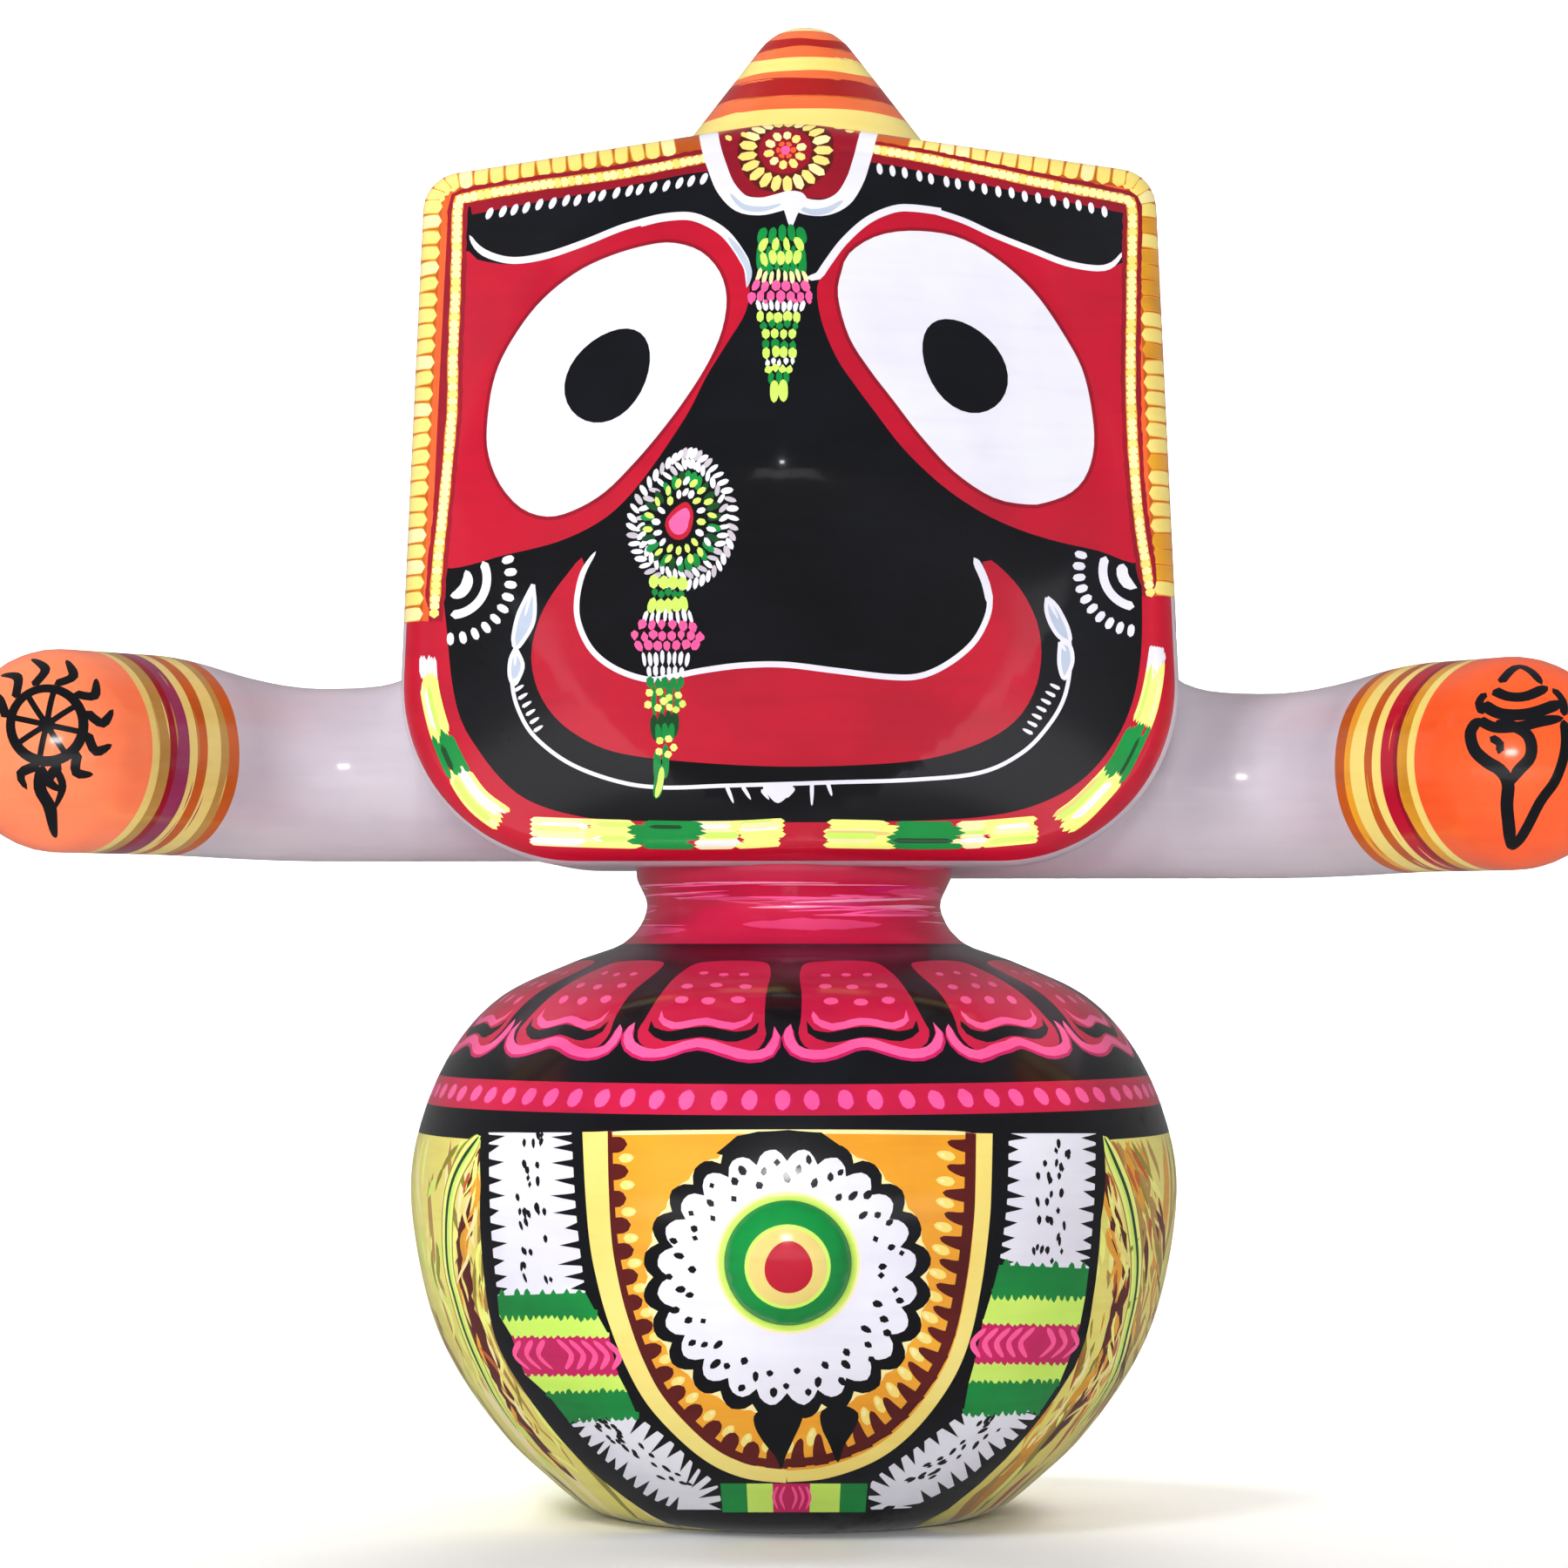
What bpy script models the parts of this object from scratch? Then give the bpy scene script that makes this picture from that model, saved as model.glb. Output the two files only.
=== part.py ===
"""A carved and painted wooden Jagannath figure, 306 mm tall, modelled as the one solid it is carved as.

The frame is in metres, +Z up, with the front of the figure facing -Y. The origin is the centre of the
flat foot that the figure stands on. Lengths below are in millimetres and are scaled once, in mesh_object.
A pot-shaped body and its neck are turned. The head is a thick rounded block whose face swells out to a
pointed nose. A ringed topknot stands on the head, and a stub arm leaves each side of it and curves forward.
"""

import math

import bmesh
import bpy
from mathutils import Vector

MM = 0.001

# The driving dimensions
HEIGHT = 306.0
BELLY_RADIUS = 78.2
BELLY_HEIGHT = 65.0
FOOT_RADIUS = 38.0
NECK_RADIUS = 30.1
NECK_HEIGHT = 123.0

# The head seen from the front: half widths and heights of the corners of its outline
HEAD_BOTTOM = 131.0
HEAD_BOTTOM_HALF = 79.1
JAW_RADIUS = 35.7
HEAD_TOP_CORNER = 268.9
HEAD_TOP_HALF = 73.0
TOP_CORNER_RADIUS = 8.0
HEAD_GABLE = 280.0
GABLE_RADIUS = 60.0

# The head seen from the side: depths along Y, where the front is negative
FACE_RIM_Y = -35.0
HEAD_BACK_Y = 46.0
RIM_ROUND = 5.0
BACK_ROUND = 14.0
BACK_SWELL = 5.0
BACK_SWELL_HALF_X = 60.0
BACK_SWELL_HALF_Z = 50.0

# The relief of the face above its rim
FACE_SWELL = 9.0
NOSE_HEIGHT = 25.0
NOSE_Z = 207.3
NOSE_HALF_WIDTH = 62.0
NOSE_UP = 74.0
NOSE_DOWN = 62.0
NOSE_TIP_SOFTNESS = 0.07
NOSE_RIDGE_POWER = 1.55
NOSE_FLANK_POWER = 1.35

# The topknot on the head
KNOT_X = 2.2
KNOT_Y = 7.0
KNOT_TIP_RADIUS = 12.0
KNOT_LEAN_DEG = 35.8
KNOT_FOOT_RADIUS = 22.0
KNOT_FOOT_HEIGHT = 285.0

# The arms: a straight root, a bend towards the front, then a straight hand with a domed end
ARM_ROOT_X = 26.0
ARM_ROOT_Y = 6.0
ARM_ROOT_LENGTH = 62.0
ARM_BEND_RADIUS = 44.5
ARM_BEND_DEG = 50.0
HAND_TURN_DEG = 6.0
SWELL_START = 0.25
SWELL_END = 1.35
SHOULDER_FLARE = 6.0
SHOULDER_FLARE_REACH = 4.5
SHOULDER_X = 76.0
ARMS = {
    "left": {"side": -1, "root_z": 150.5, "hand_z": 153.8, "root_r": 17.9, "hand_r": 20.2, "hand_length": 36.8},
    "right": {"side": 1, "root_z": 148.0, "hand_z": 151.0, "root_r": 19.0, "hand_r": 21.0, "hand_length": 34.0},
}

# The navel boss, a low dome on the belly
BOSS_X = 1.4
BOSS_Z = 55.4
BOSS_RADIUS = 11.7
BOSS_HEIGHT = 4.2
BOSS_SINK = 6.0

# Facets
TURN_SIDES = 60
PROFILE_STEP = 6.5
HEAD_STEP = 9.0
ARM_SIDES = 28
KNOT_SIDES = 32
BOSS_SIDES = 24
SHARP_DEG = 48.0


def smooth_profile(stations, step):
    """Points along a Catmull-Rom curve through (radius, height) stations, about one step apart."""
    ends = [stations[0], *stations, stations[-1]]
    points = [stations[0]]
    for before, start, end, after in zip(ends, ends[1:], ends[2:], ends[3:]):
        count = max(1, round(math.dist(start, end) / step))
        for i in range(1, count + 1):
            t = i / count
            points.append(
                tuple(
                    0.5 * (2 * s + (e - b) * t + (2 * b - 5 * s + 4 * e - a) * t * t + (3 * s - b - 3 * e + a) * t**3)
                    for b, s, e, a in zip(before, start, end, after)
                )
            )
    return points


def body_profile():
    """The turned outline of foot, belly, shoulder and neck, from the foot's edge up into the head."""
    foot_corner = 2.0
    stations = [
        (FOOT_RADIUS, 0.0),
        (FOOT_RADIUS + 5.5, foot_corner),
        (0.633 * BELLY_RADIUS, 6.8),
        (0.756 * BELLY_RADIUS, 16.0),
        (0.885 * BELLY_RADIUS, 30.2),
        (0.96 * BELLY_RADIUS, 44.8),
        (BELLY_RADIUS, BELLY_HEIGHT),
        (0.97 * BELLY_RADIUS, 80.3),
        (0.887 * BELLY_RADIUS, 94.6),
        (0.763 * BELLY_RADIUS, 105.0),
        (0.58 * BELLY_RADIUS, 111.8),
        (NECK_RADIUS + 4.4, 116.0),
        (NECK_RADIUS, NECK_HEIGHT),
        (NECK_RADIUS + 2.5, HEAD_BOTTOM - 0.5),
        (NECK_RADIUS + 0.9, HEAD_BOTTOM + 8.0),
    ]
    return smooth_profile(stations, PROFILE_STEP)


def knot_profile():
    """The topknot from its tip down into the head: a round tip, a straight flank and a flared foot."""
    lean = math.radians(KNOT_LEAN_DEG)
    centre_z = HEIGHT - KNOT_TIP_RADIUS
    steps = 4
    tip = [
        (KNOT_TIP_RADIUS * math.sin(a), centre_z + KNOT_TIP_RADIUS * math.cos(a))
        for a in ((i / steps) * (math.pi / 2 - lean) for i in range(1, steps + 1))
    ]
    flank = [(KNOT_FOOT_RADIUS, KNOT_FOOT_HEIGHT), (KNOT_FOOT_RADIUS + 2.6, 281.6), (KNOT_FOOT_RADIUS + 7.0, 278.5)]
    return [*tip, *flank, (KNOT_FOOT_RADIUS + 7.0, 268.0)]


def head_corners():
    """The corners of the head's outline as (x, z, rounding radius), anticlockwise seen from the front."""
    return [
        (HEAD_BOTTOM_HALF, HEAD_BOTTOM, JAW_RADIUS),
        (HEAD_TOP_HALF, HEAD_TOP_CORNER, TOP_CORNER_RADIUS),
        (0.0, HEAD_GABLE, GABLE_RADIUS),
        (-HEAD_TOP_HALF, HEAD_TOP_CORNER, TOP_CORNER_RADIUS),
        (-HEAD_BOTTOM_HALF, HEAD_BOTTOM, JAW_RADIUS),
    ]


def rounded_outline(corners, step):
    """Points on the rounded outline as (x, z, outward normal x, outward normal z)."""
    arcs = []
    for i, (x, z, radius) in enumerate(corners):
        here = Vector((x, z))
        to_last = (Vector(corners[i - 1][:2]) - here).normalized()
        to_next = (Vector(corners[(i + 1) % len(corners)][:2]) - here).normalized()
        half = to_last.angle(to_next) / 2
        centre = here + (to_last + to_next).normalized() * radius / math.sin(half)
        first = math.atan2(to_last.x, -to_last.y)
        arcs.append((centre, radius, first, math.pi - 2 * half))
    points = []
    for i, (centre, radius, first, turn) in enumerate(arcs):
        count = max(3, round(radius * turn / step))
        normals = [Vector((math.cos(first + turn * k / count), math.sin(first + turn * k / count))) for k in range(count + 1)]
        points += [(*(centre + n * radius), *n) for n in normals]
        last = centre + normals[-1] * radius
        next_centre, next_radius, next_first, _ = arcs[(i + 1) % len(arcs)]
        following = next_centre + Vector((math.cos(next_first), math.sin(next_first))) * next_radius
        between = max(1, round((following - last).length / step))
        points += [(*last.lerp(following, k / between), *normals[-1]) for k in range(1, between)]
    return points


def face_relief(x, z):
    """How far the face stands out of its rim plane: a soft swell, and a nose like a drawn-out pyramid."""
    mid_z = (HEAD_BOTTOM + HEAD_TOP_CORNER) / 2
    half_z = (HEAD_TOP_CORNER - HEAD_BOTTOM) / 2 + 4.0
    across = min(1.0, abs(x) / HEAD_BOTTOM_HALF) ** 2.6
    along = min(1.0, abs(z - mid_z) / half_z) ** 2.6
    swell = FACE_SWELL * (1 - across) * (1 - along)
    rise = (z - NOSE_Z) / (NOSE_UP if z > NOSE_Z else NOSE_DOWN)
    power = NOSE_RIDGE_POWER
    spread = (abs(x / NOSE_HALF_WIDTH) ** power + abs(rise) ** power) ** (1 / power)
    soft = math.hypot(spread, NOSE_TIP_SOFTNESS) - NOSE_TIP_SOFTNESS
    nose = NOSE_HEIGHT * max(0.0, 1 - soft) ** NOSE_FLANK_POWER
    return swell + nose


def back_swell(x, z):
    """How far the back of the head swells out, at a place measured from its middle."""
    across = max(0.0, 1 - (x / BACK_SWELL_HALF_X) ** 2)
    along = max(0.0, 1 - (z / BACK_SWELL_HALF_Z) ** 2)
    return BACK_SWELL * across**2 * along**2


def mesh_object(name, points, faces):
    """An object from points in millimetres and faces given as index lists, with its faces turned outwards."""
    mesh = bpy.data.meshes.new(name)
    mesh.from_pydata([tuple(c * MM for c in p) for p in points], [], faces)
    bm = bmesh.new()
    bm.from_mesh(mesh)
    bmesh.ops.recalc_face_normals(bm, faces=bm.faces)
    bm.to_mesh(mesh)
    bm.free()
    mesh.shade_smooth()
    mesh.set_sharp_from_angle(angle=math.radians(SHARP_DEG))
    obj = bpy.data.objects.new(name, mesh)
    bpy.context.scene.collection.objects.link(obj)
    return obj


def ring_solid(name, rings, first_point=None, last_point=None):
    """A closed solid skinned over rings of equal count, each end shut by a fan to a point or by one flat face."""
    count = len(rings[0])
    points = [p for ring in rings for p in ring]
    faces = []
    for r in range(len(rings) - 1):
        for i in range(count):
            j = (i + 1) % count
            faces.append((r * count + i, r * count + j, (r + 1) * count + j, (r + 1) * count + i))
    for point, base in ((first_point, 0), (last_point, (len(rings) - 1) * count)):
        if point is None:
            faces.append(tuple(range(base, base + count)))
            continue
        points.append(point)
        faces += [(base + i, base + (i + 1) % count, len(points) - 1) for i in range(count)]
    return mesh_object(name, points, faces)


def turned(name, profile, sides, centre=(0.0, 0.0), tip=None):
    """A solid of revolution about a vertical axis."""
    rings = [
        [
            (centre[0] + r * math.cos(a), centre[1] + r * math.sin(a), z)
            for a in (2 * math.pi * i / sides for i in range(sides))
        ]
        for r, z in profile
    ]
    return ring_solid(name, rings, first_point=tip)


def build_head():
    """Rings from the nose tip over the face, round the rim, along the side wall and over the rounded back."""
    outline = rounded_outline(head_corners(), HEAD_STEP)
    rings = []
    face_shares = (0.05, 0.12, 0.22, 0.34, 0.47, 0.6, 0.73, 0.86, 1.0)
    for share in face_shares:
        ring = []
        for x, z, nx, nz in outline:
            edge_x, edge_z = x - nx * RIM_ROUND, z - nz * RIM_ROUND
            px, pz = edge_x * share, NOSE_Z + (edge_z - NOSE_Z) * share
            ring.append((px, FACE_RIM_Y - face_relief(px, pz), pz))
        rings.append(ring)
    for angle in (math.radians(a) for a in (30, 60, 90)):
        inset, drop = RIM_ROUND * (1 - math.sin(angle)), RIM_ROUND * (1 - math.cos(angle))
        ring = []
        for x, z, nx, nz in outline:
            edge_x, edge_z = x - nx * RIM_ROUND, z - nz * RIM_ROUND
            fade = math.cos(angle) ** 2
            y = FACE_RIM_Y + drop - face_relief(edge_x, edge_z) * fade
            ring.append((x - nx * inset, y, z - nz * inset))
        rings.append(ring)
    straight_end = HEAD_BACK_Y - BACK_ROUND
    for y in (FACE_RIM_Y + 0.55 * (straight_end - FACE_RIM_Y), straight_end):
        rings.append([(x, y, z) for x, z, _, _ in outline])
    middle_z = (HEAD_BOTTOM + HEAD_GABLE) / 2
    flat_x, flat_z = HEAD_BOTTOM_HALF - BACK_ROUND, (HEAD_GABLE - HEAD_BOTTOM) / 2 - BACK_ROUND
    for angle in (math.radians(a) for a in (30, 60, 90)):
        shrink_x = (flat_x + BACK_ROUND * math.cos(angle)) / (flat_x + BACK_ROUND)
        shrink_z = (flat_z + BACK_ROUND * math.cos(angle)) / (flat_z + BACK_ROUND)
        y = straight_end + BACK_ROUND * math.sin(angle)
        rings.append([(x * shrink_x, y, middle_z + (z - middle_z) * shrink_z) for x, z, _, _ in outline])
    edge_ring = rings[-1]
    for share in (0.8, 0.6, 0.4, 0.2):
        ring = [(x * share, middle_z + (z - middle_z) * share) for x, _, z in edge_ring]
        rings.append([(x, HEAD_BACK_Y + back_swell(x, z - middle_z), z) for x, z in ring])
    nose = (0.0, FACE_RIM_Y - face_relief(0.0, NOSE_Z), NOSE_Z)
    crown = (0.0, HEAD_BACK_Y + back_swell(0.0, 0.0), middle_z)
    return ring_solid("head_block", rings, first_point=nose, last_point=crown)


def arm_path(side, root_z, hand_z, hand_length):
    """Stations along an arm as (centre, direction, share of the swelling into the hand), root to dome."""
    bend_length = ARM_BEND_RADIUS * math.radians(ARM_BEND_DEG)
    shoulder = SHOULDER_X - ARM_ROOT_X
    stops = [0.0, shoulder, shoulder + 2.5, shoulder + 6.0, ARM_ROOT_LENGTH]
    stops += [ARM_ROOT_LENGTH + bend_length * k / 5 for k in range(1, 6)]
    stops += [ARM_ROOT_LENGTH + bend_length + hand_length * k / 3 for k in range(1, 4)]
    x, y, travelled, pace = ARM_ROOT_X, ARM_ROOT_Y, 0.0, 0.25
    stations = []
    for stop in stops:
        while travelled < stop - 1e-6:
            step = min(pace, stop - travelled)
            turn = arm_heading(travelled + step / 2, bend_length, hand_length)
            x += step * math.sin(turn)
            y -= step * math.cos(turn)
            travelled += step
        turn = arm_heading(travelled, bend_length, hand_length)
        bent = (travelled - ARM_ROOT_LENGTH) / bend_length
        t = min(1.0, max(0.0, (bent - SWELL_START) / (SWELL_END - SWELL_START)))
        swelling = t * t * (3 - 2 * t)
        z = root_z + (hand_z - root_z) * swelling
        stations.append((Vector((side * x, y, z)), Vector((side * math.sin(turn), -math.cos(turn), 0.0)), swelling))
    return stations


def arm_heading(travelled, bend_length, hand_length):
    """The angle of the arm from straight ahead: 90 degrees at the shoulder, less after the bend."""
    bent = min(1.0, max(0.0, (travelled - ARM_ROOT_LENGTH) / bend_length))
    turned_on = min(1.0, max(0.0, (travelled - ARM_ROOT_LENGTH - bend_length) / hand_length))
    return math.radians(90 - ARM_BEND_DEG * bent - HAND_TURN_DEG * turned_on)


def build_arm(name, side, root_z, hand_z, root_r, hand_r, hand_length):
    """A round stub arm, flared where it meets the head, with a domed hand."""
    stations = arm_path(side, root_z, hand_z, hand_length)
    rings = []
    for centre, direction, swelling in stations:
        radius = root_r + (hand_r - root_r) * swelling
        flare = SHOULDER_FLARE * math.exp(-max(0.0, abs(centre.x) - SHOULDER_X) / SHOULDER_FLARE_REACH)
        rings.append(arm_ring(centre, direction, radius, flare))
    centre, direction, _ = stations[-1]
    for angle in (math.radians(a) for a in (18, 36, 54, 70, 82)):
        rings.append(arm_ring(centre + direction * hand_r * math.sin(angle), direction, hand_r * math.cos(angle)))
    return ring_solid(name, rings, last_point=tuple(centre + direction * hand_r))


def arm_ring(centre, direction, radius, flare=0.0):
    """A circle across the level arm, widened upwards by the flare and not at all underneath."""
    across = Vector((-direction.y, direction.x, 0.0))
    up = Vector((0.0, 0.0, 1.0))
    ring = []
    for i in range(ARM_SIDES):
        angle = 2 * math.pi * i / ARM_SIDES
        reach = radius + flare * (1 + math.sin(angle)) / 2
        ring.append(tuple(centre + (across * math.cos(angle) + up * math.sin(angle)) * reach))
    return ring


def build_boss(belly_radius, lean):
    """The navel boss, a spherical cap set square to the belly, with a short root sunk into it."""
    curve = (BOSS_RADIUS**2 + BOSS_HEIGHT**2) / (2 * BOSS_HEIGHT)
    edge = math.asin(BOSS_RADIUS / curve)
    turn = math.asin(BOSS_X / belly_radius)
    ahead = Vector((math.sin(turn), -math.cos(turn), 0.0))
    across = Vector((math.cos(turn), math.sin(turn), 0.0))
    out = ahead * math.cos(lean) - Vector((0, 0, math.sin(lean)))
    up = ahead * math.sin(lean) + Vector((0, 0, math.cos(lean)))
    base = ahead * belly_radius + Vector((0, 0, BOSS_Z))
    heights = [(BOSS_RADIUS, -BOSS_SINK)]
    heights += [(curve * math.sin(edge * k / 4), curve * math.cos(edge * k / 4) - curve + BOSS_HEIGHT) for k in (4, 3, 2, 1)]
    rings = [
        [
            tuple(base + out * height + (up * math.sin(a) + across * math.cos(a)) * radius)
            for a in (2 * math.pi * i / BOSS_SIDES for i in range(BOSS_SIDES))
        ]
        for radius, height in heights
    ]
    return ring_solid("navel_boss", rings, last_point=tuple(base + out * BOSS_HEIGHT))


def belly_at(height):
    """The belly's radius at a height, and how far its surface leans down there."""
    profile = body_profile()
    for (r0, z0), (r1, z1) in zip(profile, profile[1:]):
        if z0 <= height <= z1:
            return r0 + (r1 - r0) * (height - z0) / (z1 - z0), math.atan2(r1 - r0, z1 - z0)
    raise ValueError("that height isn't on the body")


def gloss_paint():
    """Crimson gloss enamel, the colour that covers most of the figure."""
    material = bpy.data.materials.new("gloss_enamel_on_wood")
    material.use_nodes = True
    shader = material.node_tree.nodes["Principled BSDF"]
    shader.inputs["Base Color"].default_value = (0.52, 0.02, 0.05, 1.0)
    shader.inputs["Roughness"].default_value = 0.22
    shader.inputs["Metallic"].default_value = 0.0
    return material


def union(target, other):
    """Joins another shape to the target for good in the evaluated mesh, and keeps that shape as a helper."""
    modifier = target.modifiers.new("join_" + other.name, "BOOLEAN")
    modifier.operation = "UNION"
    modifier.solver = "EXACT"
    modifier.object = other
    other.hide_render = True
    other.display_type = "WIRE"


def main():
    for obj in list(bpy.data.objects):
        bpy.data.objects.remove(obj)
    figure = turned("jagannath_figure", body_profile(), TURN_SIDES)
    figure.data.materials.append(gloss_paint())
    union(figure, build_head())
    knot_tip = (KNOT_X, KNOT_Y, HEIGHT)
    union(figure, turned("topknot", knot_profile(), KNOT_SIDES, centre=(KNOT_X, KNOT_Y), tip=knot_tip))
    for name, sizes in ARMS.items():
        union(figure, build_arm(name + "_arm", **sizes))
    union(figure, build_boss(*belly_at(BOSS_Z)))


main()
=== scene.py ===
# %% [markdown]
# This lesson dresses one carved wooden figure, painted in many colours of gloss enamel, 306 mm tall.
# The imported solid is loaded first. It fixes the size and place of everything that follows, so its box is
# kept.

# %% Load the imported model as the frame
import bisect
import math
import random

import bmesh
import bpy
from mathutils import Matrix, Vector
from mathutils.geometry import delaunay_2d_cdt
from mathutils.kdtree import KDTree


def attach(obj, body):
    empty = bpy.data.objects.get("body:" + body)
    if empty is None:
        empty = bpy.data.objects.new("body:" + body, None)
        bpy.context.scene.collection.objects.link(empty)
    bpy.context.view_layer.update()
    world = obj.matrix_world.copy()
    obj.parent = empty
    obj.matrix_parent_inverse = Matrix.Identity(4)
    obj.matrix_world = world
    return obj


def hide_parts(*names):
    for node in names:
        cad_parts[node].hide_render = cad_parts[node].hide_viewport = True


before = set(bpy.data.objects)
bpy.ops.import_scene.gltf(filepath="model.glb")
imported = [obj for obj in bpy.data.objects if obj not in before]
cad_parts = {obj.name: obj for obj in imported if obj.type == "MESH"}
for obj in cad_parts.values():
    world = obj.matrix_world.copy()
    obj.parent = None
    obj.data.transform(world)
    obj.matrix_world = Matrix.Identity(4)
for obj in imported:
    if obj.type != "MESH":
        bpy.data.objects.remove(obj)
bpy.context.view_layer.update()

MM = 0.001
hand = random.Random(11)

# %% [markdown]
# Most of the painting is placed as seen from the front. So the lesson needs the eye: a point, the point it
# looks at and a lens, together turning a place in the picture into a line of sight. The same three numbers
# make the camera later. Picture places are counted in pixels from the top left of a square of 1800.

# %% The eye and its lines of sight
PICTURE = 1800
EYE = Vector((31.0, -950.0, 115.6))
LOOK_AT = Vector((-2.0, 0.0, 148.4))
MM_PER_PIXEL = 0.179
SENSOR = 36.0
forward = (LOOK_AT - EYE).normalized()
rightward = forward.cross(Vector((0, 0, 1))).normalized()
upward = rightward.cross(forward)
FOCAL_PIXELS = (LOOK_AT - EYE).length / MM_PER_PIXEL


def sight_line(x, y):
    """The direction from the eye through a place in the picture."""
    across = (x - PICTURE / 2) / FOCAL_PIXELS
    down = (y - PICTURE / 2) / FOCAL_PIXELS
    return forward + rightward * across - upward * down


print("lens", round(FOCAL_PIXELS * SENSOR / PICTURE, 1), "mm on a", SENSOR, "mm sensor")

# %% [markdown]
# The painting is real paint with real edges, not relief. It could be a texture, but an image isn't wanted
# here, and hundreds of strokes would make an unreadable node tree. Instead each surface is unrolled flat,
# every stroke is laid on it as a polygon, and all the outlines are cut into one triangle mesh with
# Blender's constrained triangulation. Each triangle takes the colour of the last stroke over it, as on a
# real figure, and is then wrapped back onto the carved shape.

# %% A patch: one unrolled surface and the strokes on it
PAINTS = ["black", "crimson", "dark_red", "maroon", "white", "pearl", "orange", "rust", "yellow", "cream",
          "gold", "amber", "green", "dark_green", "lime", "pink", "magenta", "olive", "sky"]


THINNEST = 0.0005


def loop_area(shape):
    """The area inside a loop of flat places, negative when it runs clockwise."""
    return sum(a.x * b.y - b.x * a.y for a, b in zip(shape, shape[1:] + shape[:1])) / 2


class Patch:
    """An unrolled surface. Its lift turns a flat place (a, b) into a point in millimetres.

    Its scale is the flat length of one real millimetre at a place, the same in every direction.
    """

    def __init__(self, lift, rim, dots, ground, scale=None):
        self.lift = lift
        self.rim = rim
        self.dots = dots
        self.strokes = []
        self.fill(ground, rim)
        self.scale = scale or (lambda a, b: 1.0)

    def fill(self, paint, shape, level=None):
        """Lays one closed polygon of flat places, on top or at a lower level."""
        loop = list(range(len(shape)))
        stroke = (paint, shape, [loop if loop_area(shape) > 0 else loop[::-1]])
        self.strokes.insert(len(self.strokes) if level is None else level, stroke)

    def strip(self, paint, left, right, closed=False):
        """Lays a ribbon between two lines of flat places as triangles, so that it may fold on itself."""
        count = len(left)
        loops = []
        for i in range(count if closed else count - 1):
            j = (i + 1) % count
            for corners in ((i, count + i, count + j), (i, count + j, j)):
                a, b, c = [(left + right)[k] for k in corners]
                area = (b - a).cross(c - a)
                longest = max((b - a).length, (c - b).length, (a - c).length)
                if abs(area) > THINNEST * longest:
                    loops.append(corners if area > 0 else corners[::-1])
        self.strokes.append((paint, left + right, loops))

    def normal(self, a, b):
        """The surface's own normal, from two short steps each way."""
        reach = 0.15 * self.scale(a, b)
        along = self.lift(a + reach, b) - self.lift(a - reach, b)
        up = self.lift(a, b + reach) - self.lift(a, b - reach)
        return along.cross(up).normalized()

    def cut(self):
        """Triangles as (flat places, index triples, paint of each triangle)."""
        places = list(self.dots)
        loops, owners = [], []
        for paint, shape, shape_loops in self.strokes:
            loops += [[len(places) + i for i in loop] for loop in shape_loops]
            owners += [paint] * len(shape_loops)
            places += shape
        flat, _, triangles, _, _, under = delaunay_2d_cdt(places, [], loops, 1, 1e-5, True)
        laid = [0.0] * len(loops)
        for (a, b, c), ids in zip(triangles, under):
            area = (flat[b] - flat[a]).cross(flat[c] - flat[a]) / 2
            for i in ids:
                laid[i] += abs(area)
        spilled = {i for i, loop in enumerate(loops) if laid[i] > 1.3 * loop_area([places[k] for k in loop]) + 0.3}
        kept = [(tri, max(set(ids) - spilled)) for tri, ids in zip(triangles, under) if 0 in ids]
        return flat, [tri for tri, _ in kept], [owners[top] for _, top in kept]


# %% [markdown]
# A stroke has to look as if a round brush made it. It starts from a few places along its middle. A
# Catmull-Rom curve through them is smooth and passes through each one, which a Bezier's handles wouldn't
# promise. The sides are then set off from it by half the brush's width, which swells and tapers, and a
# small tremble keeps long lines from looking printed.

# %% Brush tools
def curve_through(points, step, closed=False):
    """Places about one step apart on a Catmull-Rom curve through the given places."""
    points = [Vector(p) for p in points]
    points = points[:1] + [b for a, b in zip(points, points[1:]) if (b - a).length > 0.02]
    if closed:
        ends = [points[-1], *points, points[0], points[1]]
    else:
        ends = [points[0], *points, points[-1]]
    line = [] if closed else [points[0]]
    for before, start, end, after in zip(ends, ends[1:], ends[2:], ends[3:]):
        count = max(1, min(400, round((end - start).length / step)))
        for i in range(1, count + 1):
            t = i / count
            bend = 2 * before - 5 * start + 4 * end - after
            line.append(0.5 * (2 * start + (end - before) * t + bend * t * t + (3 * start - before - 3 * end + after) * t**3))
    return line


def swell(share, start, end):
    """How wide a stroke is along its length: it opens over the start share and closes over the end share."""
    opening = 1.0 if start <= 0 else min(1.0, share / start)
    closing = 1.0 if end <= 0 else min(1.0, (1 - share) / end)
    return math.sqrt(max(0.0, min(opening, closing)))


def brush(patch, paint, points, width, step=1.2, start=0.0, end=0.0, closed=False, tremble=0.0):
    """One stroke along the given places. Widths are in millimetres on the carved surface."""
    middle = points[len(points) // 2]
    line = curve_through(points, step * patch.scale(*middle), closed)
    count = len(line)
    left, right = [], []
    for i, place in enumerate(line):
        ahead = line[(i + 1) % count] if closed or i < count - 1 else place
        behind = line[i - 1] if closed or i > 0 else place
        heading = (ahead - behind).normalized()
        side = Vector((-heading.y, heading.x)) * patch.scale(*place)
        share = i / (count - 1)
        half = width / 2 * (1.0 if closed else max(0.04, swell(share, start, end)))
        left.append(place + side * half * (1 + hand.uniform(-tremble, tremble)))
        right.append(place - side * half * (1 + hand.uniform(-tremble, tremble)))
    patch.strip(paint, left, right, closed)


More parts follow.
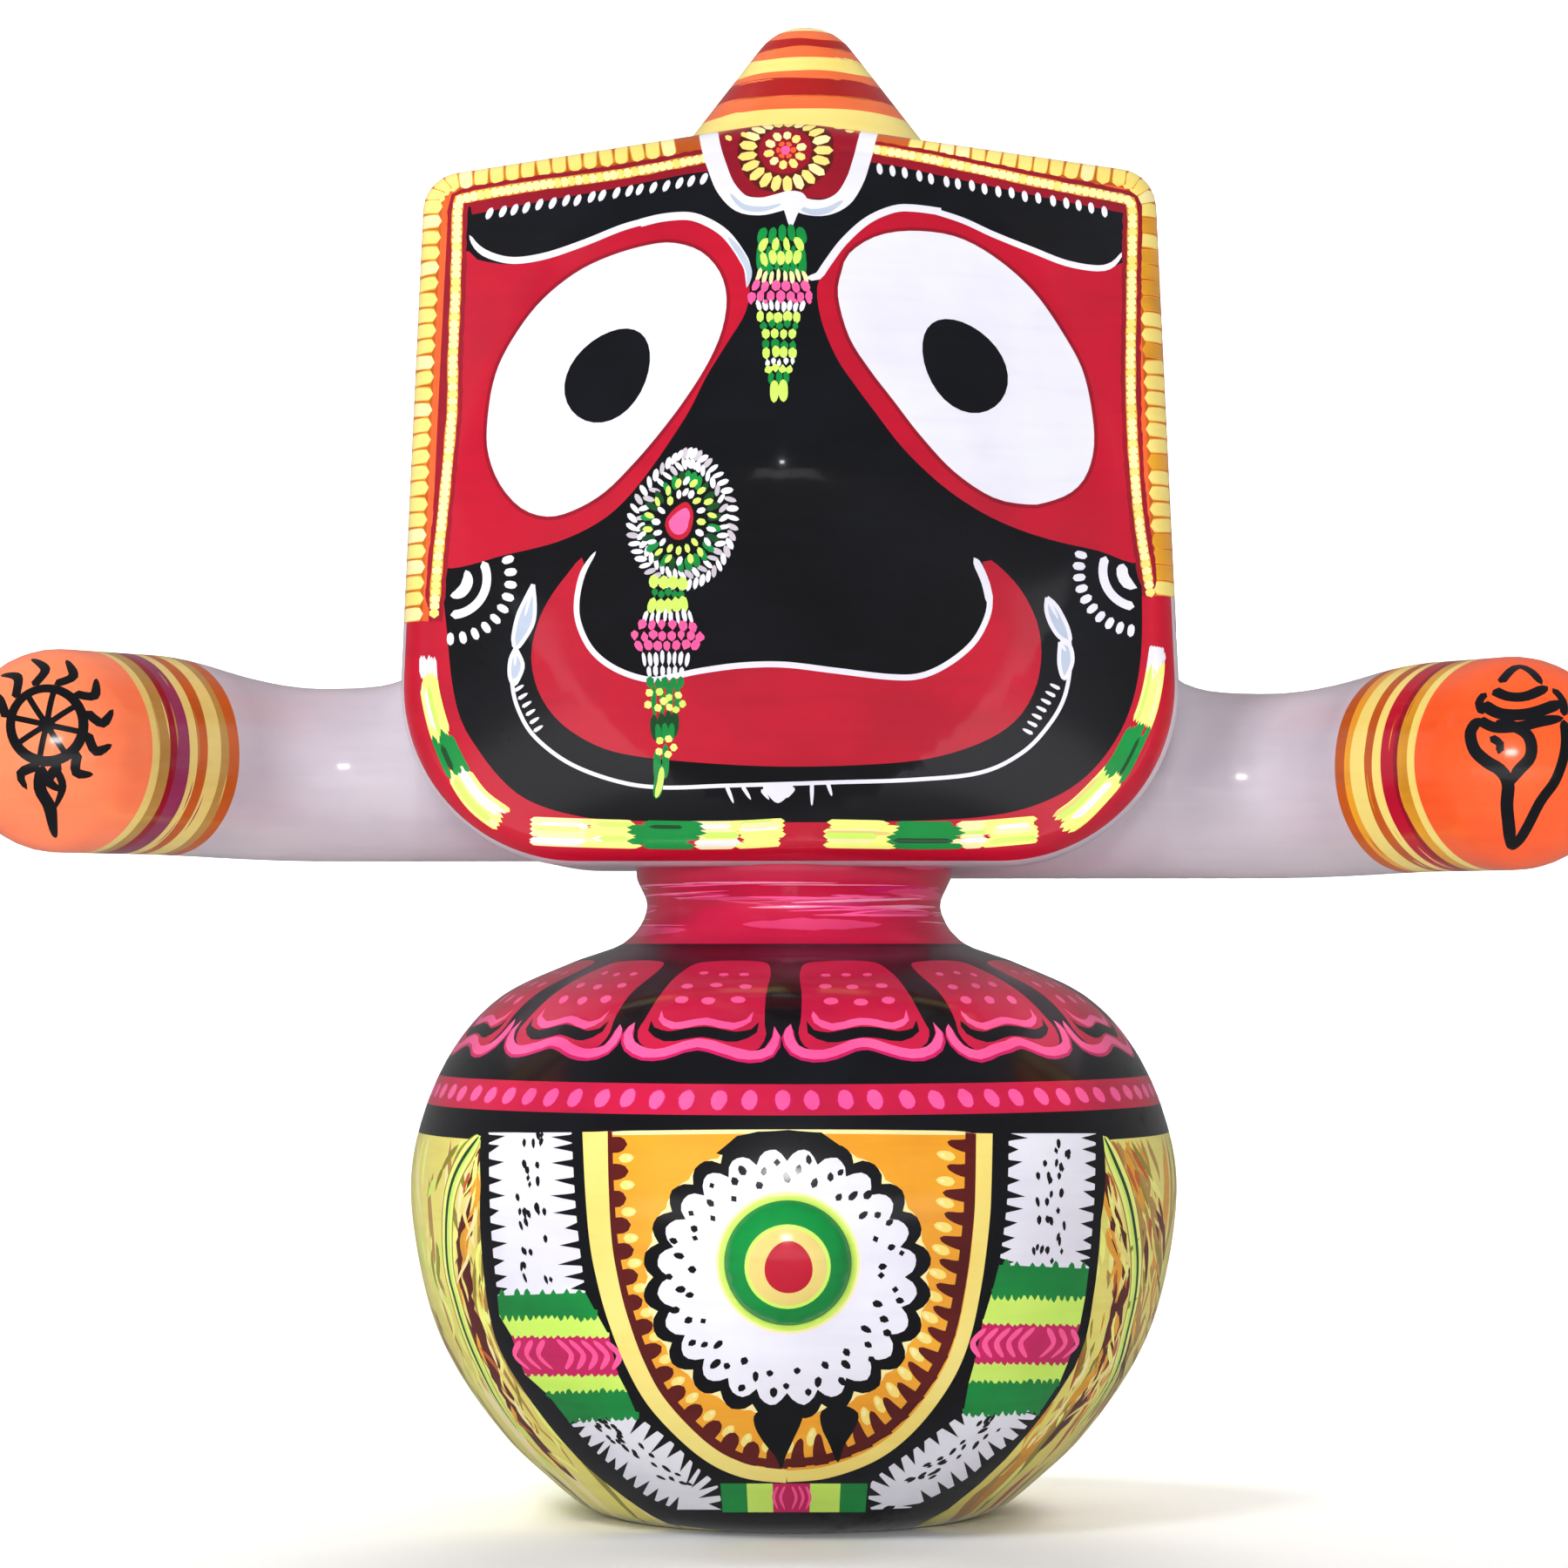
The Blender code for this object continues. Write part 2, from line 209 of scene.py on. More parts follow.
def blob(patch, paint, place, wide, tall=None, angle=0.0, corners=12, tremble=0.06):
    """A pressed dab or a dot: an ellipse with slightly uneven edges. Sizes are full widths."""
    tall = tall or wide
    scale = patch.scale(*place)
    turned = Vector((math.cos(angle), math.sin(angle)))
    shape = []
    for i in range(corners):
        a = 2 * math.pi * i / corners
        reach = (1 + hand.uniform(-tremble, tremble)) / 2
        x, y = wide * math.cos(a) * reach, tall * math.sin(a) * reach
        shape.append(Vector(place) + Vector((x * turned.x - y * turned.y, x * turned.y + y * turned.x)) * scale)
    patch.fill(paint, shape)


def dab(patch, paint, start, end, width, step=1.5):
    """A short stroke that is rounded at both ends."""
    length = (Vector(end) - Vector(start)).length / patch.scale(*start)
    brush(patch, paint, [start, end], width, step=min(step, length / 4), start=0.3, end=0.3)


def spaced(line, gap):
    """(place, heading) at even gaps along a line, centred on its length."""
    lengths = [(b - a).length for a, b in zip(line, line[1:])]
    total = sum(lengths)
    count = max(1, round(total / gap))
    found, walked, i = [], 0.0, 0
    for k in range(count):
        target = (k + 0.5) * total / count
        while i < len(lengths) - 1 and walked + lengths[i] < target:
            walked += lengths[i]
            i += 1
        t = (target - walked) / lengths[i]
        found.append((line[i].lerp(line[i + 1], t), (line[i + 1] - line[i]).normalized()))
    return found


# %% [markdown]
# The head is a thick block with a rounded gable for an outline, and its face swells to a long pointed nose.
# The outline is five corners with their own rounding. Everything outside the face's edge can be unrolled by
# the distance walked outwards from that edge: over the rim, down the side wall and round to the back.

# %% The head's outline
HEAD_BOTTOM = 131.0
HEAD_BOTTOM_HALF = 79.1
JAW_RADIUS = 35.7
HEAD_TOP_CORNER = 268.9
HEAD_TOP_HALF = 73.0
TOP_CORNER_RADIUS = 8.0
HEAD_GABLE = 280.0
GABLE_RADIUS = 60.0
FACE_RIM_Y = -35.0
HEAD_BACK_Y = 46.0
RIM_ROUND = 5.0
BACK_ROUND = 14.0
BACK_SWELL = 5.0


def rounded_corners():
    """Each corner of the head as (arc centre, radius, first angle, turn), anticlockwise from the front."""
    corners = [
        (HEAD_BOTTOM_HALF, HEAD_BOTTOM, JAW_RADIUS),
        (HEAD_TOP_HALF, HEAD_TOP_CORNER, TOP_CORNER_RADIUS),
        (0.0, HEAD_GABLE, GABLE_RADIUS),
        (-HEAD_TOP_HALF, HEAD_TOP_CORNER, TOP_CORNER_RADIUS),
        (-HEAD_BOTTOM_HALF, HEAD_BOTTOM, JAW_RADIUS),
    ]
    arcs = []
    for i, (x, z, radius) in enumerate(corners):
        here = Vector((x, z))
        to_last = (Vector(corners[i - 1][:2]) - here).normalized()
        to_next = (Vector(corners[(i + 1) % len(corners)][:2]) - here).normalized()
        half = to_last.angle(to_next) / 2
        centre = here + (to_last + to_next).normalized() * radius / math.sin(half)
        arcs.append((centre, radius, math.atan2(to_last.x, -to_last.y), math.pi - 2 * half))
    return arcs


HEAD_ARCS = rounded_corners()
JOIN_SLACK = 0.0002


def head_edge(step):
    """Places round the head's outline as (place, outward normal), about one step apart."""
    edge = []
    for i, (centre, radius, first, turn) in enumerate(HEAD_ARCS):
        count = max(5, round(radius * turn / step))
        for k in range(count + 1):
            normal = Vector((math.cos(first + turn * k / count), math.sin(first + turn * k / count)))
            edge.append((centre + normal * radius, normal))
        last, normal = edge[-1]
        next_centre, next_radius, next_first, _ = HEAD_ARCS[(i + 1) % len(HEAD_ARCS)]
        following = next_centre + Vector((math.cos(next_first), math.sin(next_first))) * next_radius
        between = max(1, round((following - last).length / step))
        edge += [(last.lerp(following, k / between), normal) for k in range(1, between)]
    return edge


def nearest_on_edge(place):
    """The nearest place of the face's own edge, which lies RIM_ROUND inside the outline: (place, normal, distance)."""
    best = None
    for i, (centre, radius, first, turn) in enumerate(HEAD_ARCS):
        reach = place - centre
        angle = (math.atan2(reach.y, reach.x) - first + JOIN_SLACK) % (2 * math.pi)
        if reach.length > 0 and angle <= turn + 2 * JOIN_SLACK:
            distance = reach.length - (radius - RIM_ROUND)
            if best is None or abs(distance) < abs(best[2]):
                normal = reach.normalized()
                best = (centre + normal * (radius - RIM_ROUND), normal, distance)
        normal = Vector((math.cos(first + turn), math.sin(first + turn)))
        start = centre + normal * (radius - RIM_ROUND)
        next_centre, next_radius, _, _ = HEAD_ARCS[(i + 1) % len(HEAD_ARCS)]
        stop = next_centre + normal * (next_radius - RIM_ROUND)
        length = (stop - start).length
        along = (place - start).dot(stop - start) / length**2
        if -JOIN_SLACK <= along <= 1 + JOIN_SLACK:
            distance = (place - start).dot(normal)
            if best is None or abs(distance) < abs(best[2]):
                best = (start.lerp(stop, along), normal, distance)
    return best


print("head outline:", len(head_edge(2.4)), "places,", round(2 * HEAD_BOTTOM_HALF), "mm across the jaw")

# %% [markdown]
# The face is a height above its rim: a soft swell plus a nose like a drawn-out pyramid. Contours of a power
# below two are between a diamond and a circle, which gives the nose its crisp ridges and soft flanks.

# %% The relief of the face and the lift of the whole head
FACE_SWELL = 9.0
NOSE_HEIGHT = 25.0
NOSE_Z = 207.3
NOSE_HALF_WIDTH = 62.0
NOSE_UP = 74.0
NOSE_DOWN = 62.0
NOSE_TIP_SOFTNESS = 0.07
NOSE_RIDGE_POWER = 1.55
NOSE_FLANK_POWER = 1.35
RIM_ARC = RIM_ROUND * math.pi / 2
WALL_END_Y = HEAD_BACK_Y - BACK_ROUND
WALL_DEPTH = WALL_END_Y - FACE_RIM_Y - RIM_ROUND
BACK_ARC = BACK_ROUND * math.pi / 2
HEAD_WRAP = RIM_ARC + WALL_DEPTH + BACK_ARC
HEAD_MIDDLE_Z = (HEAD_BOTTOM + HEAD_GABLE) / 2
FLAT_X = HEAD_BOTTOM_HALF - BACK_ROUND
FLAT_Z = (HEAD_GABLE - HEAD_BOTTOM) / 2 - BACK_ROUND


def face_relief(x, z):
    """How far the face stands out of its rim plane."""
    middle = (HEAD_BOTTOM + HEAD_TOP_CORNER) / 2
    half = (HEAD_TOP_CORNER - HEAD_BOTTOM) / 2 + 4.0
    across = min(1.0, abs(x) / HEAD_BOTTOM_HALF) ** 2.6
    along = min(1.0, abs(z - middle) / half) ** 2.6
    rise = (z - NOSE_Z) / (NOSE_UP if z > NOSE_Z else NOSE_DOWN)
    power = NOSE_RIDGE_POWER
    spread = (abs(x / NOSE_HALF_WIDTH) ** power + abs(rise) ** power) ** (1 / power)
    soft = math.hypot(spread, NOSE_TIP_SOFTNESS) - NOSE_TIP_SOFTNESS
    return FACE_SWELL * (1 - across) * (1 - along) + NOSE_HEIGHT * max(0.0, 1 - soft) ** NOSE_FLANK_POWER


def lift_head(a, b):
    """From the unrolled head to the carved one: face, rim, side wall, then the rounding to the back."""
    place = Vector((a, b))
    edge, normal, out = nearest_on_edge(place)
    if out <= 0:
        return Vector((a, FACE_RIM_Y - face_relief(a, b), b))
    if out <= RIM_ARC:
        turn = out / RIM_ROUND
        at = edge + normal * RIM_ROUND * math.sin(turn)
        y = FACE_RIM_Y + RIM_ROUND * (1 - math.cos(turn)) - face_relief(*edge) * math.cos(turn) ** 2
        return Vector((at.x, y, at.y))
    at = edge + normal * RIM_ROUND
    if out <= RIM_ARC + WALL_DEPTH:
        return Vector((at.x, FACE_RIM_Y + RIM_ROUND + out - RIM_ARC, at.y))
    turn = min(math.pi / 2, (out - RIM_ARC - WALL_DEPTH) / BACK_ROUND)
    shrink_x = (FLAT_X + BACK_ROUND * math.cos(turn)) / (FLAT_X + BACK_ROUND)
    shrink_z = (FLAT_Z + BACK_ROUND * math.cos(turn)) / (FLAT_Z + BACK_ROUND)
    z = HEAD_MIDDLE_Z + (at.y - HEAD_MIDDLE_Z) * shrink_z
    return Vector((at.x * shrink_x, WALL_END_Y + BACK_ROUND * math.sin(turn), z))


def head_place(out, place, normal):
    """A flat place at a distance outside the face's edge, below a place on the head's outline."""
    return place + normal * (out - RIM_ROUND)


def on_face(x, y):
    """The flat place on the head that a line of sight meets."""
    ray = sight_line(x, y)
    depth = FACE_RIM_Y
    for _ in range(12):
        point = EYE + ray * ((depth - EYE.y) / ray.y)
        place = Vector((point.x, point.z))
        edge, normal, out = nearest_on_edge(place)
        height = face_relief(*place) if out <= 0 else face_relief(*edge)
        depth = 0.5 * depth + 0.5 * (FACE_RIM_Y - height)
    if out > 0:
        return edge + normal * RIM_ROUND * math.asin(min(1.0, out / RIM_ROUND))
    return place


print("nose tip at", [round(c, 1) for c in lift_head(0.0, NOSE_Z)], "mm")

# %% [markdown]
# The carved head needs two patches: everything in front unrolled from the face outwards, and the flat back.
# They share one ring of places, so their edges weld. Plain dots between the strokes keep the triangles small
# enough for the curves: a grid over the face, and rings over the rim and round the walls.

# %% The head's patches
BACK_SWELL_HALF_X = 60.0
BACK_SWELL_HALF_Z = 50.0
HEAD_STEP = 2.6
edge_ring = head_edge(2.3)


def lift_back(a, b):
    """The gently swollen back, unrolled as it looks from behind."""
    u = min(1.0, abs(a) / BACK_SWELL_HALF_X)
    v = min(1.0, abs(b - HEAD_MIDDLE_Z) / BACK_SWELL_HALF_Z)
    return Vector((-a, HEAD_BACK_Y + BACK_SWELL * (1 - u * u) ** 2 * (1 - v * v) ** 2, b))


def grid_inside(low, high, step, inside):
    """A staggered grid of places in a box, keeping those that pass the test."""
    kept = []
    rows = int((high[1] - low[1]) / step)
    for row in range(rows + 1):
        b = low[1] + row * step
        a = low[0] + (row % 2) * step / 2
        while a <= high[0]:
            if inside(Vector((a, b))):
                kept.append(Vector((a, b)))
            a += step
    return kept


face_box = ((-80.0, HEAD_BOTTOM), (80.0, HEAD_GABLE))
head_dots = grid_inside(*face_box, HEAD_STEP, lambda p: nearest_on_edge(p)[2] < -0.8)
ring_distances = [0.0, 1.3, 2.6, 3.9, 5.2, 6.5, RIM_ARC]
ring_distances += [RIM_ARC + WALL_DEPTH * k / 11 for k in range(1, 12)]
ring_distances += [RIM_ARC + WALL_DEPTH + BACK_ARC * k / 8 for k in range(1, 8)]
for out in ring_distances:
    head_dots += [head_place(out, place, normal) for place, normal in edge_ring]
head_rim = [head_place(HEAD_WRAP, place, normal) for place, normal in edge_ring]
head = Patch(lift_head, head_rim, head_dots, "pearl")
lifted = [lift_head(*place) for place in head_rim]
back_rim = [Vector((-p.x, p.z)) for p in lifted][::-1]


def inside_loop(loop, margin):
    """A test for places inside a convex anticlockwise loop by at least a margin."""
    sides = [(a, (b - a).normalized()) for a, b in zip(loop, loop[1:] + loop[:1]) if (b - a).length > 1e-6]
    return lambda p: all(way.x * (p.y - a.y) - way.y * (p.x - a.x) > margin for a, way in sides)


back_dots = grid_inside(*face_box, 4.0, inside_loop(back_rim, 1.2))
head_back = Patch(lift_back, back_rim, back_dots, "pearl")
print("dots on the head:", len(head_dots), "in front,", len(back_dots), "behind")

# %% [markdown]
# The head is painted in the order a painter works: grounds first, then the borders, then the eyes and the
# mouth, and the fine white lines last. Places are read off the picture, and a stroke's width in picture
# pixels becomes millimetres on the face.

# %% Grounds and borders of the face
FACE_MM = 0.174


def seen(pixels):
    """Flat places on the head under these picture places."""
    return [on_face(x, y) for x, y in pixels]


def face_line(paint, pixels, width, **how):
    """A stroke on the face, its places and its width given in picture pixels."""
    brush(head, paint, seen(pixels), width * FACE_MM, **how)


def face_area(paint, pixels, closed=True, step=2.0):
    """A filled shape on the face with a smooth edge."""
    head.fill(paint, curve_through(seen(pixels), step, closed=True) if closed else seen(pixels))


def edge_band(paint, inner, outer, low=None, high=None):
    """A band along the head's edge between two distances outwards, all the way round or where z is over low."""
    if low is None:
        head.fill(paint, [head_place(outer, p, n) for p, n in edge_ring])
        return
    part = [(p, n) for p, n in edge_ring if p.y > (high if p.x < 0 and high else low)]
    head.fill(paint, [head_place(outer, p, n) for p, n in part] + [head_place(inner, p, n) for p, n in part[::-1]])


BEADS_END_RIGHT = 183.5
BEADS_END_LEFT = 178.8
edge_band("crimson", -20.0, 4.7)
edge_band("rust", -0.7, 7.1, BEADS_END_RIGHT, BEADS_END_LEFT)
edge_band("orange", -1.0, 0.5, BEADS_END_RIGHT, BEADS_END_LEFT)
edge_band("dark_red", -3.6, -0.7, BEADS_END_RIGHT, BEADS_END_LEFT)
inner_face = [
    (536, 238), (700, 214), (815, 196), (900, 190), (1003, 187), (1150, 214), (1292, 244), (1297, 330), (1299, 430),
    (1307, 600), (1311, 690), (1309, 760), (1297, 815), (1274, 860), (1240, 897), (1195, 922), (1140, 936),
    (1060, 942), (900, 944), (720, 942), (655, 935), (605, 918), (574, 893), (547, 858), (529, 826), (519, 784),
    (513, 724), (508, 660), (515, 560), (521, 430), (528, 330),
]
face_area("black", inner_face)
face_line("dark_red", [(541, 241), (610, 228), (700, 212), (812, 190)], 11)
face_line("dark_red", [(1006, 181), (1100, 201), (1200, 222), (1292, 240)], 10)
cream_left = [(812, 181), (750, 193), (685, 204), (610, 214), (536, 227), (527, 233), (525, 250), (523, 330), (520, 410)]
cream_left += [(519, 470), (513, 540), (507, 600), (502, 650), (498, 708)]
cream_right = [(1003, 171), (1060, 181), (1130, 196), (1200, 211), (1288, 228), (1298, 234), (1300, 250), (1299, 330)]
cream_right += [(1298, 430), (1301, 520), (1307, 590), (1314, 640), (1321, 684)]
print("grounds laid:", len(head.strokes), "shapes")

# %% [markdown]
# The yellow beads along the rim are single dabs pulled across the edge. A dab for each even gap along the
# outline follows the corners by itself. The thin line inside them is a rope of small dabs on orange, and the
# white dashes below the border lean a little, like stitches.

# %% Beads and dashes
BEAD_GAP = 3.15
bead_path = [(p, n) for p, n in head_edge(0.8) if p.y > (BEADS_END_LEFT if p.x < 0 else BEADS_END_RIGHT)]
bead_line = [p for p, _ in bead_path]
for place, heading in spaced(bead_line, BEAD_GAP):
    normal = Vector((heading.y, -heading.x))
    if -22 < place.x < 24:
        continue
    golden = place.x > 60 and place.y < 262
    paint = hand.choice(["gold", "amber", "yellow"]) if golden else hand.choice(["yellow", "yellow", "cream"])
    outer, inner = 6.9, 0.5
    lean = Vector((heading.x, heading.y)) * hand.uniform(-0.25, 0.25)
    start, end = head_place(inner, place, normal) - lean, head_place(outer, place, normal) + lean
    brush(head, "amber" if golden else "gold", [start, end], 2.95, step=1.0, start=0.15, end=0.15)
    brush(head, "yellow" if golden and paint == "amber" else paint, [start, end], 2.6 + hand.uniform(-0.15, 0.1), step=0.9,
          start=0.18, end=0.18)


def rope(pixels, width):
    """A thin line of small overlapping dabs, with a dark red line on both of its sides."""
    line = curve_through(seen(pixels), 0.4)
    brush(head, "dark_red", line[::5], width + 2.1, tremble=0.08, end=0.02)
    brush(head, "gold", line[::4], width + 0.25, tremble=0.1, end=0.02)
    for place, heading in spaced(line, 1.4):
        lean = (heading + Vector((-heading.y, heading.x)) * hand.uniform(0.05, 0.3)).normalized()
        brush(head, hand.choice(["cream", "cream", "cream", "yellow"]), [place - lean, place + lean], width, step=0.6, start=0.3, end=0.3)


def leaning_dashes(first, last, count, lean, length, width):
    """A row of short white strokes between two picture places."""
    for k in range(count):
        t = k / (count - 1)
        x, y = first[0] + (last[0] - first[0]) * t, first[1] + (last[1] - first[1]) * t
        dx, dy = lean[0] * length / 2, lean[1] * length / 2
        x, y = x + hand.uniform(-1.5, 1.5), y + hand.uniform(-1.2, 1.2)
        face_line("white", [(x - dx, y - dy), (x + dx, y + dy)], width, step=0.5, start=0.35, end=0.35)


leaning_dashes((562, 245), (808, 206), 18, (0.45, -0.9), 15, 7.0)
leaning_dashes((1009, 193), (1269, 242), 18, (0.15, 0.95), 14, 6.5)
print("beads and dashes:", len(head.strokes), "shapes")

# %% [markdown]
# Each great eye is a white egg on a crimson field, with a black pupil that tilts the other way on each side.
# The field's lower edge runs down to the cheek, and a white brow line rides along its top.

# %% Eyes and brows
left_field = [
    (530, 292), (548, 298), (575, 303), (600, 302), (640, 292), (690, 272), (740, 254), (790, 250), (822, 262),
    (846, 290), (860, 325), (856, 358), (834, 395), (811, 432), (792, 470), (768, 508), (742, 545), (715, 577),
    (685, 601), (640, 622), (580, 637), (509, 651), (512, 600), (519, 500), (524, 400),
]
right_field = [
    (1292, 300), (1278, 306), (1258, 310), (1224, 304), (1185, 289), (1140, 271), (1105, 254), (1068, 243),
    (1029, 240), (996, 254), (969, 278), (948, 305), (938, 330), (943, 368), (960, 410), (980, 440), (1006, 475),
    (1038, 516), (1080, 556), (1125, 587), (1170, 608), (1215, 622), (1260, 632), (1309, 645), (1305, 590),
    (1299, 500), (1296, 400),
]
left_eye = [
    (559, 490), (566, 440), (582, 400), (616, 351), (658, 315), (700, 294), (745, 281), (775, 279), (805, 289),
    (826, 312), (834, 342), (829, 378), (814, 414), (790, 453), (762, 491), (730, 529), (694, 565), (658, 586),
    (628, 593), (598, 583), (574, 556), (561, 523),
]
right_eye = [
    (962, 340), (966, 312), (975, 291), (1004, 272), (1044, 265), (1095, 271), (1140, 294), (1185, 333), (1221, 384),
    (1245, 432), (1256, 499), (1249, 541), (1230, 565), (1200, 577), (1179, 579), (1140, 571), (1095, 541),
    (1056, 499), (1026, 460), (999, 425), (975, 387),
]


def pupil(middle, tilt):
    """A black egg, 120 by 84 pixels, leaning by an angle from level."""
    lean = math.radians(tilt)
    ring = []
    for k in range(30):
        a = 2 * math.pi * k / 30
        x, y = 60 * math.cos(a), (42 - 5 * math.cos(a)) * math.sin(a)
        ring.append((middle[0] + x * math.cos(lean) - y * math.sin(lean), middle[1] - x * math.sin(lean) - y * math.cos(lean)))
    return ring


for field, eye, middle, tilt in ((left_field, left_eye, (699, 430), 53), (right_field, right_eye, (1106, 419), 127)):
    face_area("crimson", field)
    edge_line = curve_through(seen(eye), 2.0, closed=True)
    brush(head, "dark_red", seen(eye), 1.5, step=2.0, closed=True)
    head.fill("white", edge_line)
    face_area("black", pupil(middle, tilt))
face_line("white", [(539, 270), (547, 283), (562, 293), (589, 299), (625, 294), (670, 279), (715, 261), (745, 253)], 8,
          start=0.12, step=1.0)
face_line("white", [(735, 256), (760, 250), (790, 248), (812, 255), (832, 268), (848, 288), (858, 308), (858, 328)], 10,
          end=0.2, step=1.0)
face_line("sky", [(836, 272), (850, 291), (860, 312), (857, 330)], 7, start=0.3, end=0.3, step=0.8)
face_line("white", [(1290, 288), (1278, 303), (1260, 308), (1224, 302), (1185, 287), (1140, 269), (1105, 253), (1068, 241)],
          7, start=0.1, step=1.0)
face_line("white", [(1080, 243), (1050, 239), (1026, 240), (996, 253), (969, 277), (950, 302), (939, 317), (925, 319)], 9,
          end=0.05, step=1.0)
rope(cream_left, 1.9)
rope(cream_right, 1.8)
print("eyes and brows:", len(head.strokes), "shapes")

# %% [markdown]
# The forehead mark is one broad white stroke bent into a cup, with a drop under its middle, and a flower of
# yellow petals sits in it, wrapping over the rim. The flower is drawn on the unrolled surface, where it is
# a true circle, so the rim foreshortens it by itself.

# %% Forehead mark and flower
cup = [(826, 152), (834, 195), (848, 220), (878, 228), (905, 226), (932, 228), (957, 225), (973, 203), (984, 150), (905, 138)]
face_area("dark_red", cup)
flower = on_face(901.5, 172.4)


def petals(patch, middle, count, inner, outer, width, paints, first=0.0):
    """A ring of dabs pointing at the middle."""
    for k in range(count):
        a = first + 2 * math.pi * k / count
        way = Vector((math.cos(a), math.sin(a)))
        dab(patch, hand.choice(paints), middle + way * inner, middle + way * (outer + hand.uniform(-0.25, 0.2)), width)


blob(head, "maroon", flower, 19.2, corners=30, tremble=0.02)
petals(head, flower, 21, 5.6, 9.4, 1.85, ["cream", "yellow"])
blob(head, "dark_red", flower, 10.6, corners=24, tremble=0.03)
petals(head, flower, 10, 2.2, 4.3, 1.55, ["yellow", "cream"], first=0.2)
petals(head, flower, 6, 1.0, 2.0, 1.2, ["orange"])
blob(head, "pink", flower, 2.0, corners=12)
for x, y in ((836, 157), (854, 153), (962, 142), (975, 147)):
    face_line("yellow", [(x - 3, y + 2), (x + 3, y - 2)], 10, step=0.4, start=0.3, end=0.3)
face_line("white", [(812, 148), (816, 168), (823, 191), (833, 215), (850, 233), (872, 237), (892, 233), (908, 228)], 22,
          step=0.9, start=0.02)
face_line("white", [(999, 142), (994, 165), (988, 188), (981, 208), (968, 228), (948, 238), (925, 237), (906, 228)], 20,
          step=0.9, start=0.02)
face_line("sky", [(838, 222), (853, 237), (876, 240), (897, 234)], 7, step=0.8, start=0.4, end=0.4)
face_line("sky", [(912, 234), (930, 243), (950, 241), (968, 230)], 8, step=0.8, start=0.4, end=0.4)
face_area("white", [(897, 229), (900, 221), (910, 219), (922, 222), (927, 233), (917, 243), (908, 261), (901, 244)], step=0.8)
print("forehead:", len(head.strokes), "shapes")

# %% [markdown]
# The wide smile is one red crescent with a white line on its upper lip. Under it a thin white line follows
# the chin, with leaves, combs and a small drop for ornaments.

# %% Smile and chin
smile = [
    (668, 640), (652, 658), (634, 682), (620, 708), (611, 740), (611, 769), (622, 802), (646, 832), (685, 856),
    (730, 868), (810, 876), (900, 880), (990, 878), (1065, 871), (1125, 853), (1164, 829), (1186, 797), (1195, 760),
    (1193, 724), (1182, 694), (1164, 667), (1138, 643), (1128, 645), (1134, 666), (1138, 690), (1133, 712),
    (1116, 739), (1086, 762), (1056, 775), (1020, 776), (960, 769), (900, 763), (850, 763), (805, 769), (745, 778),
    (706, 766), (680, 745), (665, 716), (663, 690), (670, 660),
]
face_area("crimson", smile)
face_line("white", [(684, 633), (669, 658), (662, 691), (665, 718), (680, 747), (707, 768), (744, 780), (775, 776),
                    (805, 770), (850, 764), (900, 763), (960, 770), (1020, 777), (1056, 776), (1088, 762), (1117, 738),
                    (1133, 709), (1136, 685), (1129, 660), (1118, 640)], 6.5, start=0.04, end=0.01, step=1.0)
face_line("white", [(1137, 695), (1131, 668), (1119, 641)], 9, start=0.2, end=0.15, step=1.0)
chin = [(590, 745), (588, 785), (596, 817), (615, 847), (655, 877), (709, 897), (760, 904), (830, 902), (900, 900),
        (960, 898), (1050, 895), (1125, 887), (1172, 865), (1202, 835), (1222, 800), (1229, 755), (1224, 715)]
face_line("white", chin, 4.5, start=0.03, end=0.03, step=1.0)
LEAVES = [
    [(612, 671), (603, 688), (594, 708), (589, 734), (593, 744), (603, 732), (612, 715), (614, 695)],
    [(592, 744), (586, 757), (585, 775), (590, 786), (597, 775), (600, 762)],
    [(1202, 686), (1213, 696), (1225, 719), (1228, 736), (1216, 731), (1206, 716), (1201, 700)],
    [(1217, 737), (1228, 741), (1231, 760), (1222, 779), (1216, 762)],
]
for leaf in LEAVES:
    face_area("sky", leaf, step=1.2)
    face_line("white", leaf + leaf[:1], 4.5, step=0.8)
    face_line("white", [leaf[0], tuple((Vector(leaf[0]) + Vector(leaf[len(leaf) // 2])) / 2)], 4, step=0.8, start=0.2, end=0.5)
for k in range(7):
    x, y = 586 + k * 4.4, 784 + k * 9.3
    face_line("white", [(x, y), (x + 11, y - 7)], 4.2, start=0.1, end=0.5, step=0.5)
for k in range(7):
    x, y = 1217 - k * 5.2, 791 + k * 8.6
    face_line("white", [(x, y), (x - 12, y - 6)], 4.2, start=0.2, end=0.5, step=0.5)
for x, y, dx, dy in ((834, 902, 8, 20), (852, 902, 10, 16), (932, 899, 0, 26), (950, 898, 5, 16), (874, 906, 9, 12), (912, 904, -9, 12)):
    face_line("white", [(x, y), (x + dx, y + dy)], 4.5, start=0.1, end=0.6, step=0.5)
face_area("white", [(876, 903), (910, 902), (906, 912), (893, 922), (882, 913)], step=0.8)
print("smile and chin:", len(head.strokes), "shapes")

# %% [markdown]
# Each cheek has half a flower at the border: a solid crescent, an arc round it and a row of dots. The
# painter swings them from one centre, so they are placed by angle from a centre.

# %% Cheek flowers
def arc_pixels(middle, radius, first, last, count):
    """Picture places on an arc, with angles in degrees clockwise from the right."""
    turns = [math.radians(first + (last - first) * k / (count - 1)) for k in range(count)]
    return [(middle[0] + radius * math.cos(a), middle[1] + radius * math.sin(a)) for a in turns]


